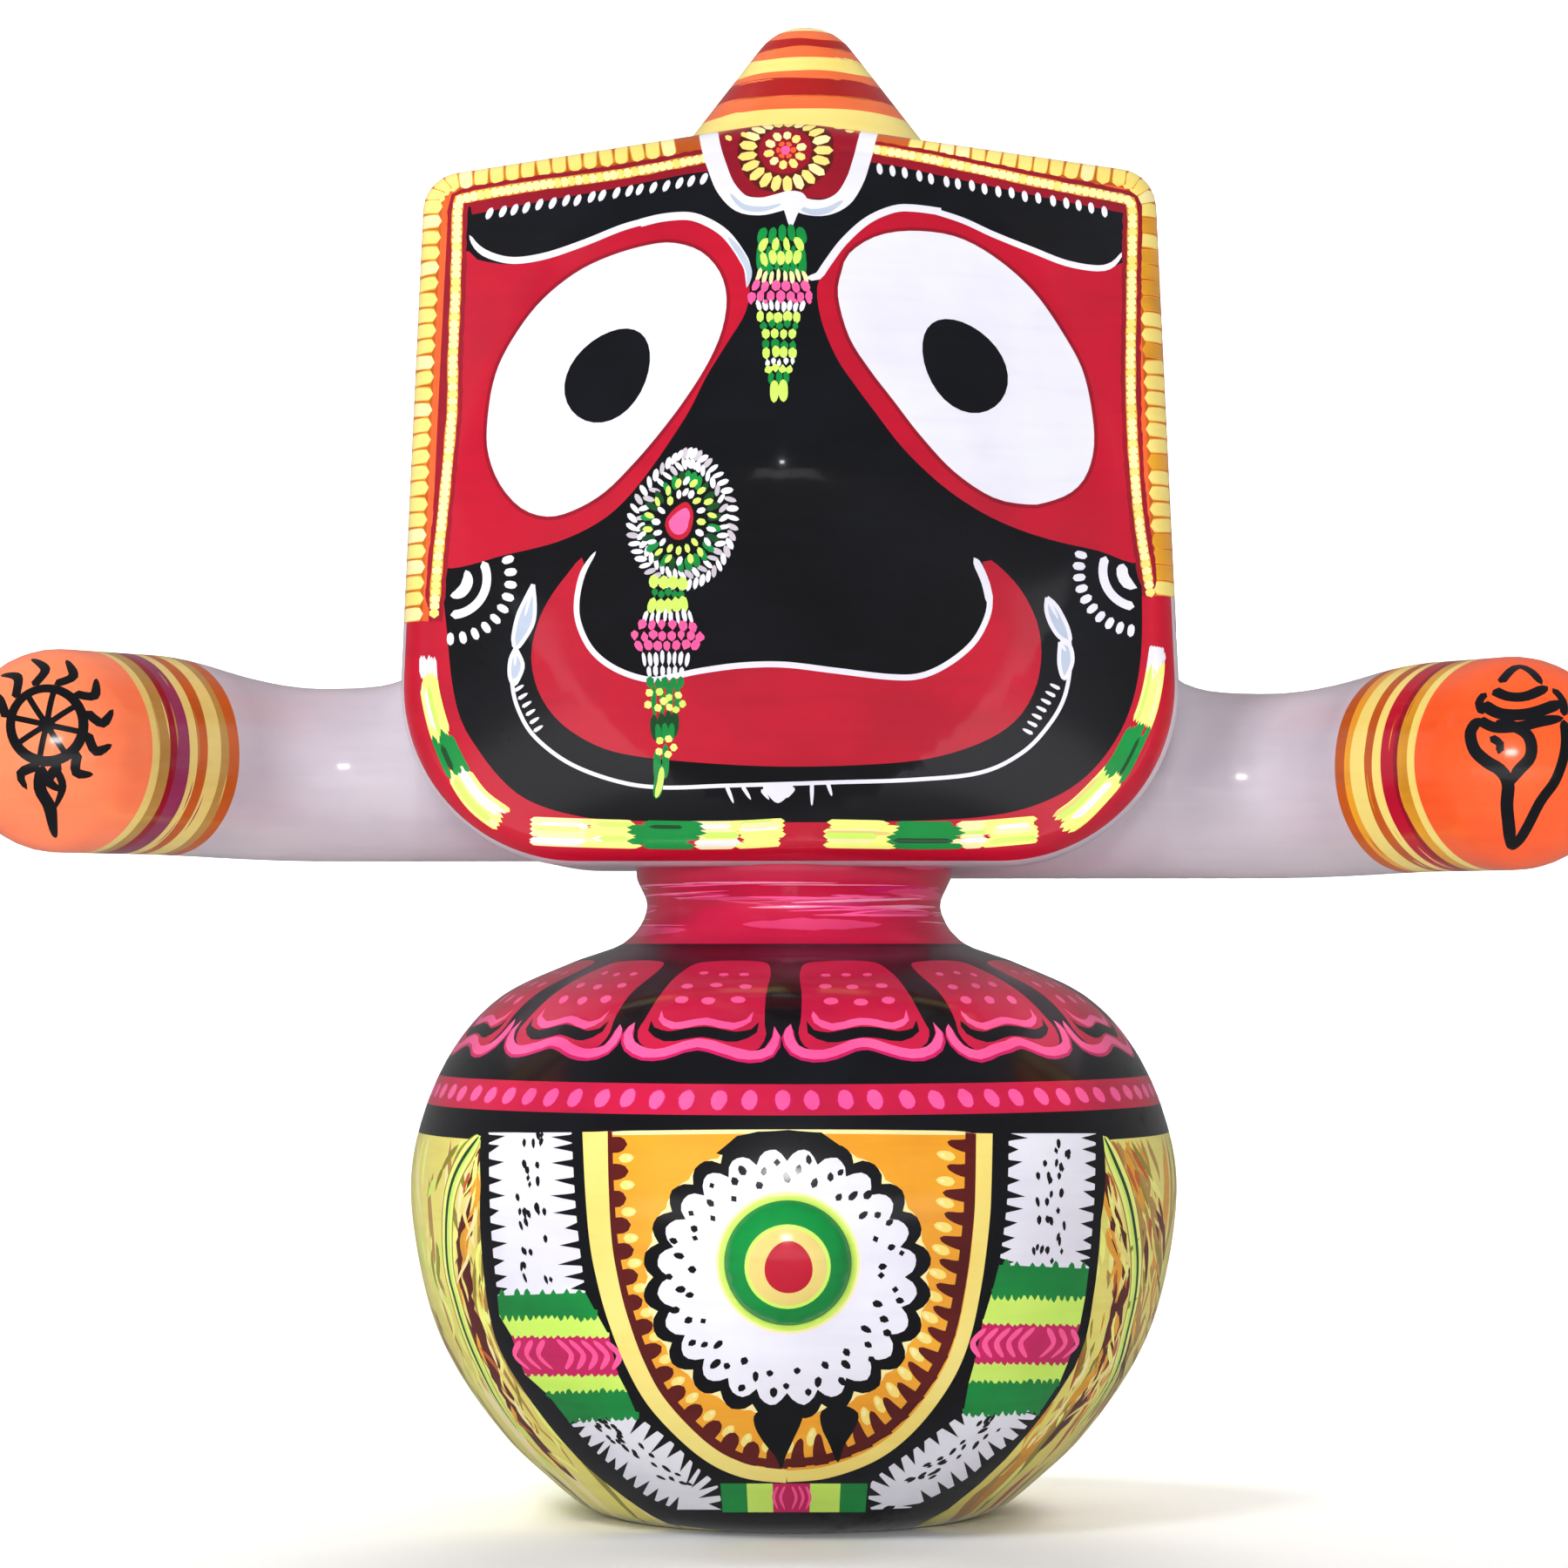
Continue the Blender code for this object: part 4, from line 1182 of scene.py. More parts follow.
pot.fill("straw", pot_sock.ring(FOOT_RADIUS + SKIRT_FOOT))
LIGHT_CLOTH = ["straw", "lemon", "lime", "lemon", "straw", "olive", "cream", "lime", "tan"]
BROWN_AND_SHADED_CLOTH = ["tan", "gold", "olive", "tan", "lemon", "rust", "straw", "gold", "tan"]
# From 30 to 150 degrees the strokes are browner and darker. This is partly the cloth's own colours and partly painted
# shade on the side turned from the key light.
for count, least, most, narrow, wide in ((90, 24, 60, 2.4, 5.0), (240, 9, 26, 1.2, 2.8)):
    for k in range(count):
        turn = 30 + 300 * (k + hand.uniform(0, 1)) / count
        top = min(SKIRT_FOOT - 0.3, hand.uniform(0.2, 1.2) * SKIRT_FOOT)
        foot = max(1.0, top - hand.uniform(least, most))
        paint = hand.choice(BROWN_AND_SHADED_CLOTH if 30 < turn < 150 else LIGHT_CLOTH)
        brush(pot, paint, meridian(turn, top, foot, hand.uniform(-3.5, 3.5)), hand.uniform(narrow, wide), step=4.0,
              start=0.3, end=0.5)

CLOTH_SIDES = {
    "left": {
        "border": [(551, 1318), (542, 1360), (534, 1410), (532, 1455), (536, 1495), (548, 1530), (562, 1562), (578, 1592), (597, 1628),
                   (628, 1667), (662, 1700)],
        "line": [(551, 1304), (530, 1334), (517, 1368), (513, 1425), (516, 1462), (523, 1490), (537, 1535), (552, 1570), (572, 1608), (598, 1645)],
        "apron": [(553, 1330), (553, 1423), (556, 1460), (561, 1500), (570, 1538), (597, 1588), (640, 1646), (676, 1684), (716, 1716)],
        "out": -1,
    },
    "right": {
        "border": [(1268, 1345), (1276, 1380), (1284, 1417), (1289, 1450), (1287, 1480), (1278, 1523), (1267, 1563), (1250, 1597), (1223, 1632), (1190, 1668)],
        "line": [(1266, 1304), (1280, 1335), (1294, 1372), (1302, 1412), (1305, 1445), (1303, 1483), (1293, 1530), (1280, 1575), (1258, 1612), (1234, 1640)],
        "apron": [(1265, 1330), (1264, 1400), (1258, 1470), (1246, 1537), (1233, 1570), (1212, 1603), (1186, 1637), (1158, 1670)],
        "out": 1,
    },
}
SIDE_ON = 2.1


def flowing(paints, border, out, near, far, count, widths, sway=4.0):
    """Strokes that run down beside a border like grain, between two distances outwards from it."""
    for _ in range(count):
        reach = hand.randint(4, 9)
        first = hand.randrange(0, len(border) - reach)
        shift, phase, bend = hand.uniform(near, far), hand.uniform(0, 6.3), hand.uniform(-sway, sway)
        stroke = [p + Vector((out * (shift + bend * math.sin(phase + 0.6 * i)), 0.0)) for i, p in enumerate(border[first : first + reach])]
        stroke = [p for p in stroke if abs(p.x - 912) < 424 and p.y > 1308]
        if len(stroke) > 2:
            pot_line(hand.choice(paints), stroke, hand.uniform(*widths) * SIDE_ON, step=2.2, start=0.3, end=0.6)


LEFT_CLOTH = ["lemon", "straw", "cream", "lemon", "olive", "tan", "lime"]
RIGHT_BROWN_AND_SHADED_CLOTH = ["tan", "gold", "straw", "olive", "rust", "tan", "lemon", "maroon"]
for side in CLOTH_SIDES.values():
    out = side["out"]
    border, line = (curve_through(side[key], 8) for key in ("border", "line"))
    outside = LEFT_CLOTH if out < 0 else RIGHT_BROWN_AND_SHADED_CLOTH
    # On the right, extra tan, gold, maroon and rust strokes darken the cloth towards its far edge. This is partly its
    # own colours and partly painted shade.
    if out > 0:
        flowing(["tan", "gold", "tan"], line, out, 2, 36, 40, (5.0, 9.0))
        flowing(["maroon", "rust"], line, out, 20, 38, 9, (3.0, 6.0))
    flowing(outside, line, out, 4, 38, 60, (2.5, 6.0))
    flowing(["lemon", "straw", "cream", "gold", "tan", "olive", "lemon"], border, out, -26, 4, 46, (2.0, 5.5))
    pot_line("maroon", side["border"], 17 * SIDE_ON, step=1.8, start=0.5, end=0.3, tremble=0.25)
    flowing(["gold", "amber", "rust"], border, out, -9, 9, 16, (3.0, 6.0), 7.0)
    flowing(["lemon", "yellow", "cream", "amber", "yellow"], border, out, -8, 9, 24, (2.4, 4.6), 8.0)
    for shift, paint, width in ((0, "olive", 15), (0, "lemon", 12.5), (-1, "lime", 5), (1, "dark_green", 3)):
        pot_line(paint, [(x + out * shift, y) for x, y in side["line"]], width * SIDE_ON, step=1.6, start=0.1, end=0.2)
print("cloth:", len(pot.strokes), "shapes")

# %% [markdown]
# The front of the pot is a black apron with two flower garlands hanging down and meeting at the foot. A
# garland is a ribbon between two edge lines. It runs white with spiked sides, then green, yellow-green and
# pink and back, then white again, and every joint is feathered.

# %% The garland strips
apron_left = [(553, 1296), (552, 1360), (552, 1423), (555, 1460), (560, 1500), (569, 1538), (583, 1568), (597, 1590), (618, 1620),
              (640, 1648), (676, 1686), (717, 1719), (765, 1748)]
apron_right = [(1045, 1755), (1088, 1733), (1124, 1704), (1158, 1671), (1186, 1638), (1212, 1604), (1233, 1571), (1246, 1538), (1258, 1470),
               (1264, 1400), (1265, 1296)]
pot.fill("black", [on_pot(x, y) for x, y in apron_left] + [pot_place(t, 0.2) for t in (-16, -10, -5, 0, 5, 10, 16)]
         + [on_pot(x, y) for x, y in apron_right] + [pot_place(t, SKIRT_FOOT + 0.3) for t in range(48, -50, -4)])

STRIP_LEFT = [
    [(561, 1300), (563, 1400), (571, 1487), (573, 1510), (587, 1533), (602, 1577), (628, 1600), (650, 1628), (677, 1660),
     (707, 1687), (740, 1716), (777, 1733)],
    [(656, 1300), (662, 1400), (672, 1484), (686, 1510), (699, 1533), (709, 1577), (720, 1598), (732, 1626), (773, 1657),
     (803, 1687), (824, 1706), (828, 1733)],
]
STRIP_RIGHT = [
    [(1258, 1301), (1256, 1380), (1250, 1456), (1246, 1488), (1240, 1520), (1226, 1564), (1216, 1588), (1196, 1618),
     (1167, 1650), (1137, 1673), (1107, 1699), (1045, 1731)],
    [(1158, 1301), (1156, 1380), (1147, 1452), (1138, 1486), (1128, 1518), (1119, 1563), (1112, 1588), (1106, 1622),
     (1077, 1643), (1050, 1663), (1000, 1702), (1000, 1733)],
]
SECTIONS = [("white", 0, 2), ("green", 2, 3), ("lime", 3, 4), ("magenta", 4, 5), ("lime", 5, 6), ("green", 6, 7), ("white", 7, 11)]


def along_edge(edge, first, last, gap):
    """Places about a gap apart on part of a strip's edge."""
    line = [Vector(p) for p in edge[first : last + 1]]
    return curve_through(line, gap)


def fringe(paint, a, b, reach, gap=7.5, width=10.5):
    """Dabs of a band's own colour over its joint with the next, so that the edge dries like a comb."""
    a, b = Vector(a), Vector(b)
    square = Vector((-(b - a).y, (b - a).x)).normalized() * (1 if b.x > a.x else -1)
    count = max(3, round((b - a).length / gap))
    for k in range(count):
        p = a.lerp(b, (k + 0.5 + hand.uniform(-0.15, 0.15)) / count)
        pot_line(paint, [p - square * reach, p, p + square * hand.uniform(0.6, 1.15) * reach], width * hand.uniform(0.85, 1.1), step=0.7, end=0.55)


def spikes(edge, inward, depth, half):
    """Black spikes from a white strip's edge, pointing across it."""
    for a, b in zip(edge, edge[1:]):
        heading = (b - a).normalized()
        middle = a.lerp(b, 0.5) + heading * hand.uniform(-1.5, 1.5)
        target = min(inward, key=lambda p: (p - middle).length)
        way = (target - middle).normalized()
        tip = middle + way * depth * hand.uniform(0.6, 1.2) + heading * hand.uniform(-3, 1)
        foot = middle - way * 5
        pot_area("black", [foot - heading * half, middle - heading * half * 0.6 + way * 2, tip, middle + heading * half * 0.6 + way * 2,
                           foot + heading * half], smooth=False)


def garland_strip(outer, inner, outer_depth, inner_depth):
    """One hanging garland between its outer and inner edges."""
    for paint, first, last in SECTIONS:
        one, other = along_edge(outer, first, last, 14), along_edge(inner, first, last, 14)
        pot_area(paint, one + other[::-1], smooth=False)
        if paint == "white":
            spikes(along_edge(outer, first, last, 16), other, outer_depth, 7)
            spikes(along_edge(inner, first, last, 15.5), one, inner_depth, 7)
            for _ in range(34 if first == 0 else 30):
                t, across = hand.uniform(0.04, 0.96), hand.uniform(0.3, 0.66)
                i = min(int(t * (len(one) - 1)), len(one) - 2)
                p = one[i].lerp(one[i + 1], t * (len(one) - 1) - i)
                q = min(other, key=lambda o: (o - p).length)
                where = p.lerp(q, across)
                heading = (one[i + 1] - one[i]).normalized()
                lean = Vector((heading.x + hand.uniform(-0.25, 0.35), heading.y)).normalized() * hand.uniform(4, 6.5)
                pot_line("black", [where - lean, where + lean], hand.uniform(5, 7), step=0.6, start=0.3, end=0.45)
        elif paint == "magenta":
            for k in range(8):
                t = (k + 0.6) / 8
                bow = 12 * (1 if t < 0.45 else -1)
                top, foot = Vector(outer[first]).lerp(Vector(inner[first]), t), Vector(outer[last]).lerp(Vector(inner[last]), t)
                top, foot = top.lerp(foot, 0.1 + 0.1 * abs(t - 0.45)), foot.lerp(top, 0.1)
                side = (Vector(outer[first]) - Vector(inner[first])).normalized() * bow
                pot_line("pink", [top, top.lerp(foot, 0.5) + side, foot], 7.6, step=0.8, start=0.2, end=0.35)
    fringe("green", outer[2], inner[2], -7, gap=14, width=11)
    for joint, paint, reach in ((3, "green", 7), (4, "lime", 4), (5, "magenta", 4), (6, "green", -5), (7, "green", 6)):
        fringe(paint, outer[joint], inner[joint], reach)


garland_strip(*STRIP_LEFT, 16, 24)
garland_strip(*STRIP_RIGHT, 15, 19)
for low, high, paint in ((827, 858, "green"), (857, 888, "lime"), (887, 931, "magenta"), (930, 966, "lime"), (965, 996, "green")):
    pot_area(paint, [(low, 1703), (high, 1703), (high - (high - 911) * 0.03, 1736), (low - (low - 911) * 0.03, 1736)], smooth=False)
for x in (893, 901, 909, 917, 925):
    bow = 5 if x < 909 else -5
    pot_line("pink", [(x, 1706), (x - bow, 1719), (x, 1733)], 3.6, step=0.8, start=0.15, end=0.35)
print("garland strips:", len(pot.strokes), "shapes")

# %% [markdown]
# Between the garlands hangs an amber panel with a yellow hem and a maroon edge of teeth. On it sits a round
# white doily with a scalloped black outline, and the painted navel boss is its middle.

# %% The amber panel and the doily
hem_left = [(683, 1299), (685, 1360), (689, 1420), (696, 1463), (708, 1510), (729, 1566), (757, 1614), (807, 1664), (853, 1688), (903, 1695)]
hem_right = [(903, 1695), (950, 1690), (1003, 1670), (1045, 1637), (1083, 1587), (1105, 1537), (1119, 1470), (1127, 1403), (1129, 1360), (1130, 1301)]
panel_top = [(x, 1301 - 2 * math.sin((x - 684) / 446 * math.pi)) for x in range(1115, 690, -30)]
pot_area("amber", [*curve_through(hem_left, 12), *curve_through(hem_right, 12)[1:], *panel_top], smooth=False)
pot_line("cream", panel_top[::-1], 5, step=2, start=0.05, end=0.05)


def offset_line(line, reach):
    """A picture line moved sideways, to the left of its own heading."""
    moved = []
    for i, p in enumerate(line):
        heading = (line[min(i + 1, len(line) - 1)] - line[max(i - 1, 0)]).normalized()
        moved.append(p + Vector((heading.y, -heading.x)) * reach)
    return moved


def toothed_hem(points, first_width, last_width, reach, tooth_width, gap, pointed):
    """The hem's yellow line with a maroon band and teeth inside it, and light dabs between the teeth."""
    line = curve_through(points, 7.0)
    widths = [first_width + (last_width - first_width) * k / (len(line) - 1) for k in range(len(line))]
    pot_line("maroon", offset_line(line, last_width / 2 + 6)[::2], 14, step=1.5)
    for p, heading in spaced(line, gap):
        way = Vector((heading.y, -heading.x))
        root = p + way * last_width * 0.5
        tip = p + way * (last_width * 0.5 + reach * hand.uniform(0.88, 1.05))
        lean = heading * (hand.uniform(2, 5) if pointed else 0)
        pot_line("maroon", [root, root.lerp(tip, 0.5), tip + lean], tooth_width, step=0.8, end=0.75 if pointed else 0.35)
        gap_tip = p + heading * gap / 2 + way * (last_width * 0.5 + reach * 0.95)
        if gap_tip.y < 1312:
            continue
        pot_line("yellow", [gap_tip - way * reach * 0.3, gap_tip + way * reach * 0.3 + lean], 11, step=0.7, start=0.35, end=0.45)
        pot_line("cream", [gap_tip, gap_tip + way * reach * 0.22 + lean], 5, step=0.7, start=0.35, end=0.45)
    outer = [p + (q - p) * w / 2 for p, q, w in zip(line, offset_line(line, -1.0), widths)]
    inner = [p + (q - p) * w / 2 for p, q, w in zip(line, offset_line(line, 1.0), widths)]
    pot_area("yellow", outer + inner[::-1], smooth=False)


toothed_hem(hem_left, 29, 15, 29, 19, 31, False)
toothed_hem(hem_right, 13, 19, 36, 17, 29, True)
DOILY = (903.5, 1466)
DOILY_LOBES = 24


def scalloped(middle, radius, bulge, count):
    """A ring of picture places with rounded lobes and sharp notches between them."""
    ring = []
    for k in range(count * 6):
        a = 2 * math.pi * k / (count * 6)
        reach = radius + bulge * abs(math.sin(count * a / 2)) ** 0.8 + hand.uniform(-0.8, 0.8)
        ring.append((middle[0] + reach * math.cos(a), middle[1] + reach * 0.985 * math.sin(a)))
    return ring


pot_area("cream", scalloped(DOILY, 160, 4, DOILY_LOBES), smooth=False)
pot_area("black", scalloped(DOILY, 153, 13, DOILY_LOBES), smooth=False)
pot_area("black", [(846, 1304), (870, 1299), (905, 1297), (943, 1300), (975, 1322), (905, 1345), (822, 1324)], smooth=False)
pot_area("white", scalloped(DOILY, 135, 15, DOILY_LOBES), smooth=False)
for k in range(64):
    a = 2 * math.pi * (k + hand.uniform(-0.2, 0.2)) / 64
    reach = (112, 124, 134)[k % 3] + hand.uniform(-5, 4)
    where = Vector((DOILY[0] + reach * math.cos(a), DOILY[1] + reach * math.sin(a)))
    way = Vector((math.cos(a + hand.uniform(-0.4, 0.4)), math.sin(a))) * hand.uniform(4.0, 7.0)
    pot_line("black", [where - way, where + way], hand.uniform(6.5, 9), step=0.6, start=0.3, end=0.45)
for drop in ([(868, 1622), (866, 1636), (876, 1655), (890, 1672), (897, 1686), (902, 1672), (912, 1650), (920, 1632), (920, 1620), (893, 1612)],
             [(943, 1620), (943, 1638), (952, 1658), (962, 1679), (969, 1660), (981, 1640), (985, 1622), (964, 1612)]):
    pot_area("black", drop, step=1.2)
pot.fill("cream", boss_circle(13.6, 48))
pot.fill("lime", boss_circle(13.1, 48))
pot.fill("green", boss_circle(BOSS_RADIUS + BOSS_FOOT, 72))
pot.fill("green", boss_circle(BOSS_RADIUS, 72))
pot.fill("lime", boss_circle(8.1, 40))
pot.fill("sand", boss_circle(7.4, 40))
pot.fill("crimson", [on_boss(0.2 + 4.5 * math.cos(a) * (1 - 0.1 * math.sin(a)), 0.2 + 5.0 * math.sin(a)) for a in (k * math.pi / 18 for k in range(36))])
print("panel and doily:", len(pot.strokes), "shapes")

# %% [markdown]
# The underside stands on bare wood, with a painted edge where the brush stopped short.

# %% The foot
pot.fill("black", pot_sock.ring(FOOT_RADIUS + 0.6))
pot.fill("bare_wood", pot_sock.ring(FOOT_RADIUS - 3.0, 0.5))

# %% [markdown]
# The topknot is a cone with a round tip, ringed in sunset colours. The rings are brushed freehand, so each
# edge wanders a little. Seen from below, they droop at both sides by themselves.

# %% The topknot and its rings
KNOT_X = 2.2
KNOT_Y = 7.0
KNOT_TOP = 306.0
KNOT_TIP_RADIUS = 12.0
KNOT_LEAN_DEG = 35.8
KNOT_FOOT_RADIUS = 22.0
knot_turns = [math.radians(90 - KNOT_LEAN_DEG) * k / 14 for k in range(15)]
knot_tip = [Vector((KNOT_TIP_RADIUS * math.sin(a), KNOT_TOP - KNOT_TIP_RADIUS * (1 - math.cos(a)))) for a in knot_turns]
knot_foot = [Vector((KNOT_FOOT_RADIUS, 285.0)), Vector((24.6, 281.6)), Vector((29.0, 278.5)), Vector((29.0, 268.0))]
knot_outline = Profile(knot_tip + knot_foot)


knot_sock = Sock(lambda walk: knot_outline.at(walk).x, knot_outline.length)


def lift_knot(a, b):
    """From the unrolled topknot to the carved one."""
    radius, height = knot_outline.at(knot_sock.walk(a, b))
    spread = math.hypot(a, b) or 1.0
    return Vector((KNOT_X + radius * a / spread, KNOT_Y + radius * b / spread, height))


topknot = Patch(lift_knot, knot_sock.ring(knot_outline.length), knot_sock.dots(2.0), "yellow", knot_sock.scale)
knot_rings = [(34.5, "yellow"), (31.4, "tangerine"), (27.2, "brick"), (22.0, "tangerine"), (19.8, "yellow"), (15.4, "tangerine"),
              (12.6, "brick"), (9.6, "tangerine"), (6.6, "cream")]
for walk, paint in knot_rings:
    topknot.fill(paint, knot_sock.ring(walk, 0.28 if walk > 8 else 0.15))
for walk, paint, under in ((31.4, "yellow", 0), (27.2, "rust", 1), (22.0, "tangerine", 0), (15.4, "yellow", 0), (12.6, "rust", 1)):
    for _ in range(16):
        start, length = hand.uniform(0, 2 * math.pi), hand.uniform(0.15, 0.45)
        arc = [knot_sock.place(start + length * k / 4, walk + hand.uniform(-0.15, 0.15)) for k in range(5)]
        brush(topknot, paint, arc, hand.uniform(0.25, 0.6), step=1.5, start=0.4, end=0.4)
print("topknot:", round(knot_outline.length), "mm from tip to root,", len(topknot.strokes), "shapes")

# %% [markdown]
# Each arm leaves the head sideways, bends forward by about fifty degrees and ends in a dome. It is swept
# along a walked centre line, and its sock starts at the tip of the dome.

# %% The arms' shape
ARM_ROOT_X = 26.0
ARM_ROOT_Y = 6.0
ARM_ROOT_LENGTH = 62.0
ARM_BEND_RADIUS = 44.5
ARM_BEND_DEG = 50.0
HAND_TURN_DEG = 6.0
SWELL_START = 0.25
SWELL_END = 1.35
SHOULDER_FLARE = 6.0
SHOULDER_FLARE_REACH = 4.5
SHOULDER_X = 76.0
ARM_PACE = 0.25
BEND_LENGTH = ARM_BEND_RADIUS * math.radians(ARM_BEND_DEG)


class Arm:
    """A stub arm as a line of (centre, direction, radius, flare) and the lift that wraps a sock round it."""

    def __init__(self, side, root_z, hand_z, root_r, hand_r, hand_length):
        self.hand_r = hand_r
        self.dome = hand_r * math.pi / 2
        self.line = []
        x, y = ARM_ROOT_X, ARM_ROOT_Y
        steps = round((ARM_ROOT_LENGTH + BEND_LENGTH + hand_length) / ARM_PACE)
        pace = (ARM_ROOT_LENGTH + BEND_LENGTH + hand_length) / steps
        for k in range(steps + 1):
            walk = pace * k
            share = min(1.0, max(0.0, ((walk - ARM_ROOT_LENGTH) / BEND_LENGTH - SWELL_START) / (SWELL_END - SWELL_START)))
            share = share * share * (3 - 2 * share)
            turn = self.heading(walk, hand_length)
            centre = Vector((side * x, y, root_z + (hand_z - root_z) * share))
            flare = SHOULDER_FLARE * math.exp(-max(0.0, x - SHOULDER_X) / SHOULDER_FLARE_REACH)
            self.line.append((centre, Vector((side * math.sin(turn), -math.cos(turn), 0.0)), root_r + (hand_r - root_r) * share, flare))
            turn = self.heading(walk + pace / 2, hand_length)
            x += pace * math.sin(turn)
            y -= pace * math.cos(turn)
        self.pace = pace
        self.sock = Sock(self.radius_at, self.dome + pace * steps)

    def heading(self, walk, hand_length):
        """The angle from straight ahead: square to the head at the shoulder, less after the bend."""
        bent = min(1.0, max(0.0, (walk - ARM_ROOT_LENGTH) / BEND_LENGTH))
        turned_on = min(1.0, max(0.0, (walk - ARM_ROOT_LENGTH - BEND_LENGTH) / hand_length))
        return math.radians(90 - ARM_BEND_DEG * bent - HAND_TURN_DEG * turned_on)

    def station(self, back):
        """Centre, direction, radius and flare at a length back from the foot of the dome."""
        place = min(max(len(self.line) - 1 - back / self.pace, 0.0), len(self.line) - 1.0)
        i = min(int(place), len(self.line) - 2)
        t = place - i
        return [a + (b - a) * t for a, b in zip(self.line[i], self.line[i + 1])]

    def radius_at(self, walk):
        if walk < self.dome:
            return self.hand_r * math.sin(walk / self.hand_r)
        return self.station(walk - self.dome)[2]

    def lift(self, a, b):
        """From the unrolled arm to the carved one. Straight up the flat patch is the arm's top."""
        walk, spread = self.sock.walk(a, b), math.hypot(a, b)
        level, up = (a / spread, b / spread) if spread > 0 else (0.0, 1.0)
        centre, direction, radius, flare = self.station(walk - self.dome)
        across = Vector((-direction.y, direction.x, 0.0)).normalized()
        ring = across * level + Vector((0, 0, up))
        if walk < self.dome:
            return centre + (ring * math.sin(walk / self.hand_r) + direction * math.cos(walk / self.hand_r)) * self.hand_r
        return centre + ring * (radius + flare * (1 + up) / 2)

    def on_dome(self, x, y):
        """The flat place on the hand's dome that a line of sight meets."""
        centre, direction, radius, _ = self.line[-1]
        ray = sight_line(x, y).normalized()
        near = (centre - EYE).dot(ray)
        miss = (centre - EYE).length_squared - near * near
        point = EYE + ray * (near - math.sqrt(max(0.0, radius * radius - miss)))
        offset = (point - centre).normalized()
        across = Vector((-direction.y, direction.x, 0.0))
        level, up, ahead = offset.dot(across), offset.z, offset.dot(direction)
        walk = self.hand_r * math.atan2(math.hypot(level, up), ahead)
        return self.sock.place(math.atan2(level, up), walk)


left = Arm(-1, 150.5, 153.8, 17.9, 20.2, 36.8)
right = Arm(1, 148.0, 151.0, 19.0, 21.0, 34.0)
print("arms from tip to root:", round(left.sock.length), "and", round(right.sock.length), "mm")

# %% [markdown]
# Orange domes, six cuff bands and pale upper arms. The bands are rings at walked lengths from the tip. On
# the left palm is a wheel with hooked flames, and on the right palm a conch, both brushed in black.

# %% The arms' painting
CUFFS = [("rust", 62.6), ("amber", 59.6), ("yellow", 57.4), ("rust", 53.4), ("yellow", 50.6), ("crimson", 48.2), ("dark_red", 44.4),
         ("gold", 42.6), ("yellow", 39.6)]


def painted_arm(arm, shift, painted_haze, palm):
    """An arm's patch with its ground, cuff bands and dome laid. The haze table gives a cuff paint's duller stand-in, a
    painted haze of reflected light.
    """
    patch = Patch(arm.lift, arm.sock.ring(arm.sock.length, count=90), arm.sock.dots(2.6), "pearl", arm.sock.scale)
    for paint, walk in CUFFS:
        patch.fill(painted_haze.get(paint, paint), arm.sock.ring(walk + shift, 0.2))
    for _ in range(26):
        start, length, walk = hand.uniform(0, 6.3), hand.uniform(0.2, 0.6), hand.uniform(39, 60) + shift
        arc = [arm.sock.place(start + length * k / 5, walk) for k in range(6)]
        paint = hand.choice(["gold", "yellow", "crimson", "amber"])
        brush(patch, painted_haze.get(paint, paint), arc, hand.uniform(0.2, 0.45), step=1.5, start=0.4, end=0.4)
    patch.fill(palm, arm.sock.ring(37.4 + shift, 0.2))
    return patch


# The left arm's cuffs take duller stand-ins and its dome a paler orange than the right: painted haze and painted
# highlight from the light on that side.
left_arm = painted_arm(left, 0.0, {"yellow": "sand", "gold": "tan", "crimson": "plum", "amber": "tan"}, "peach")
right_arm = painted_arm(right, 0.6, {}, "orange")
HAND_MM = 0.171


def dome_line(arm, patch, pixels, width, **how):
    """A black stroke on a palm, in picture pixels."""
    brush(patch, "black", [arm.on_dome(x, y) for x, y in pixels], width * HAND_MM, step=1.0, **how)


hub = (54, 832)
left_arm.fill("black", [left.on_dome(hub[0] + 10 * math.cos(a), hub[1] + 10 * math.sin(a)) for a in (k * 0.52 for k in range(12))])
wheel = arc_pixels(hub, 42, -90, 270, 25)
brush(left_arm, "black", [left.on_dome(x, y) for x, y in wheel[:-1]], 12 * HAND_MM, step=1.0, closed=True)
for k in range(8):
    a = math.radians(45 * k + 12)
    dome_line(left, left_arm, [hub, (hub[0] + 42 * math.cos(a), hub[1] + 42 * math.sin(a))], 7)
for k in range(10):
    a = math.radians(-170 + 30 * k)
    rim, tip = [(hub[0] + r * math.cos(a + turn), hub[1] + r * math.sin(a + turn)) for r, turn in ((47, 0.0), (78, 0.12))]
    bend = (hub[0] + 64 * math.cos(a + 0.32), hub[1] + 64 * math.sin(a + 0.32))
    dome_line(left, left_arm, [rim, bend, tip], 11.5, start=0.05, end=0.4)
dome_line(left, left_arm, [(50, 878), (46, 905), (58, 930), (64, 962)], 15, start=0.1, end=0.5)
dome_line(left, left_arm, [(62, 878), (72, 903), (62, 930)], 9, start=0.2, end=0.5)

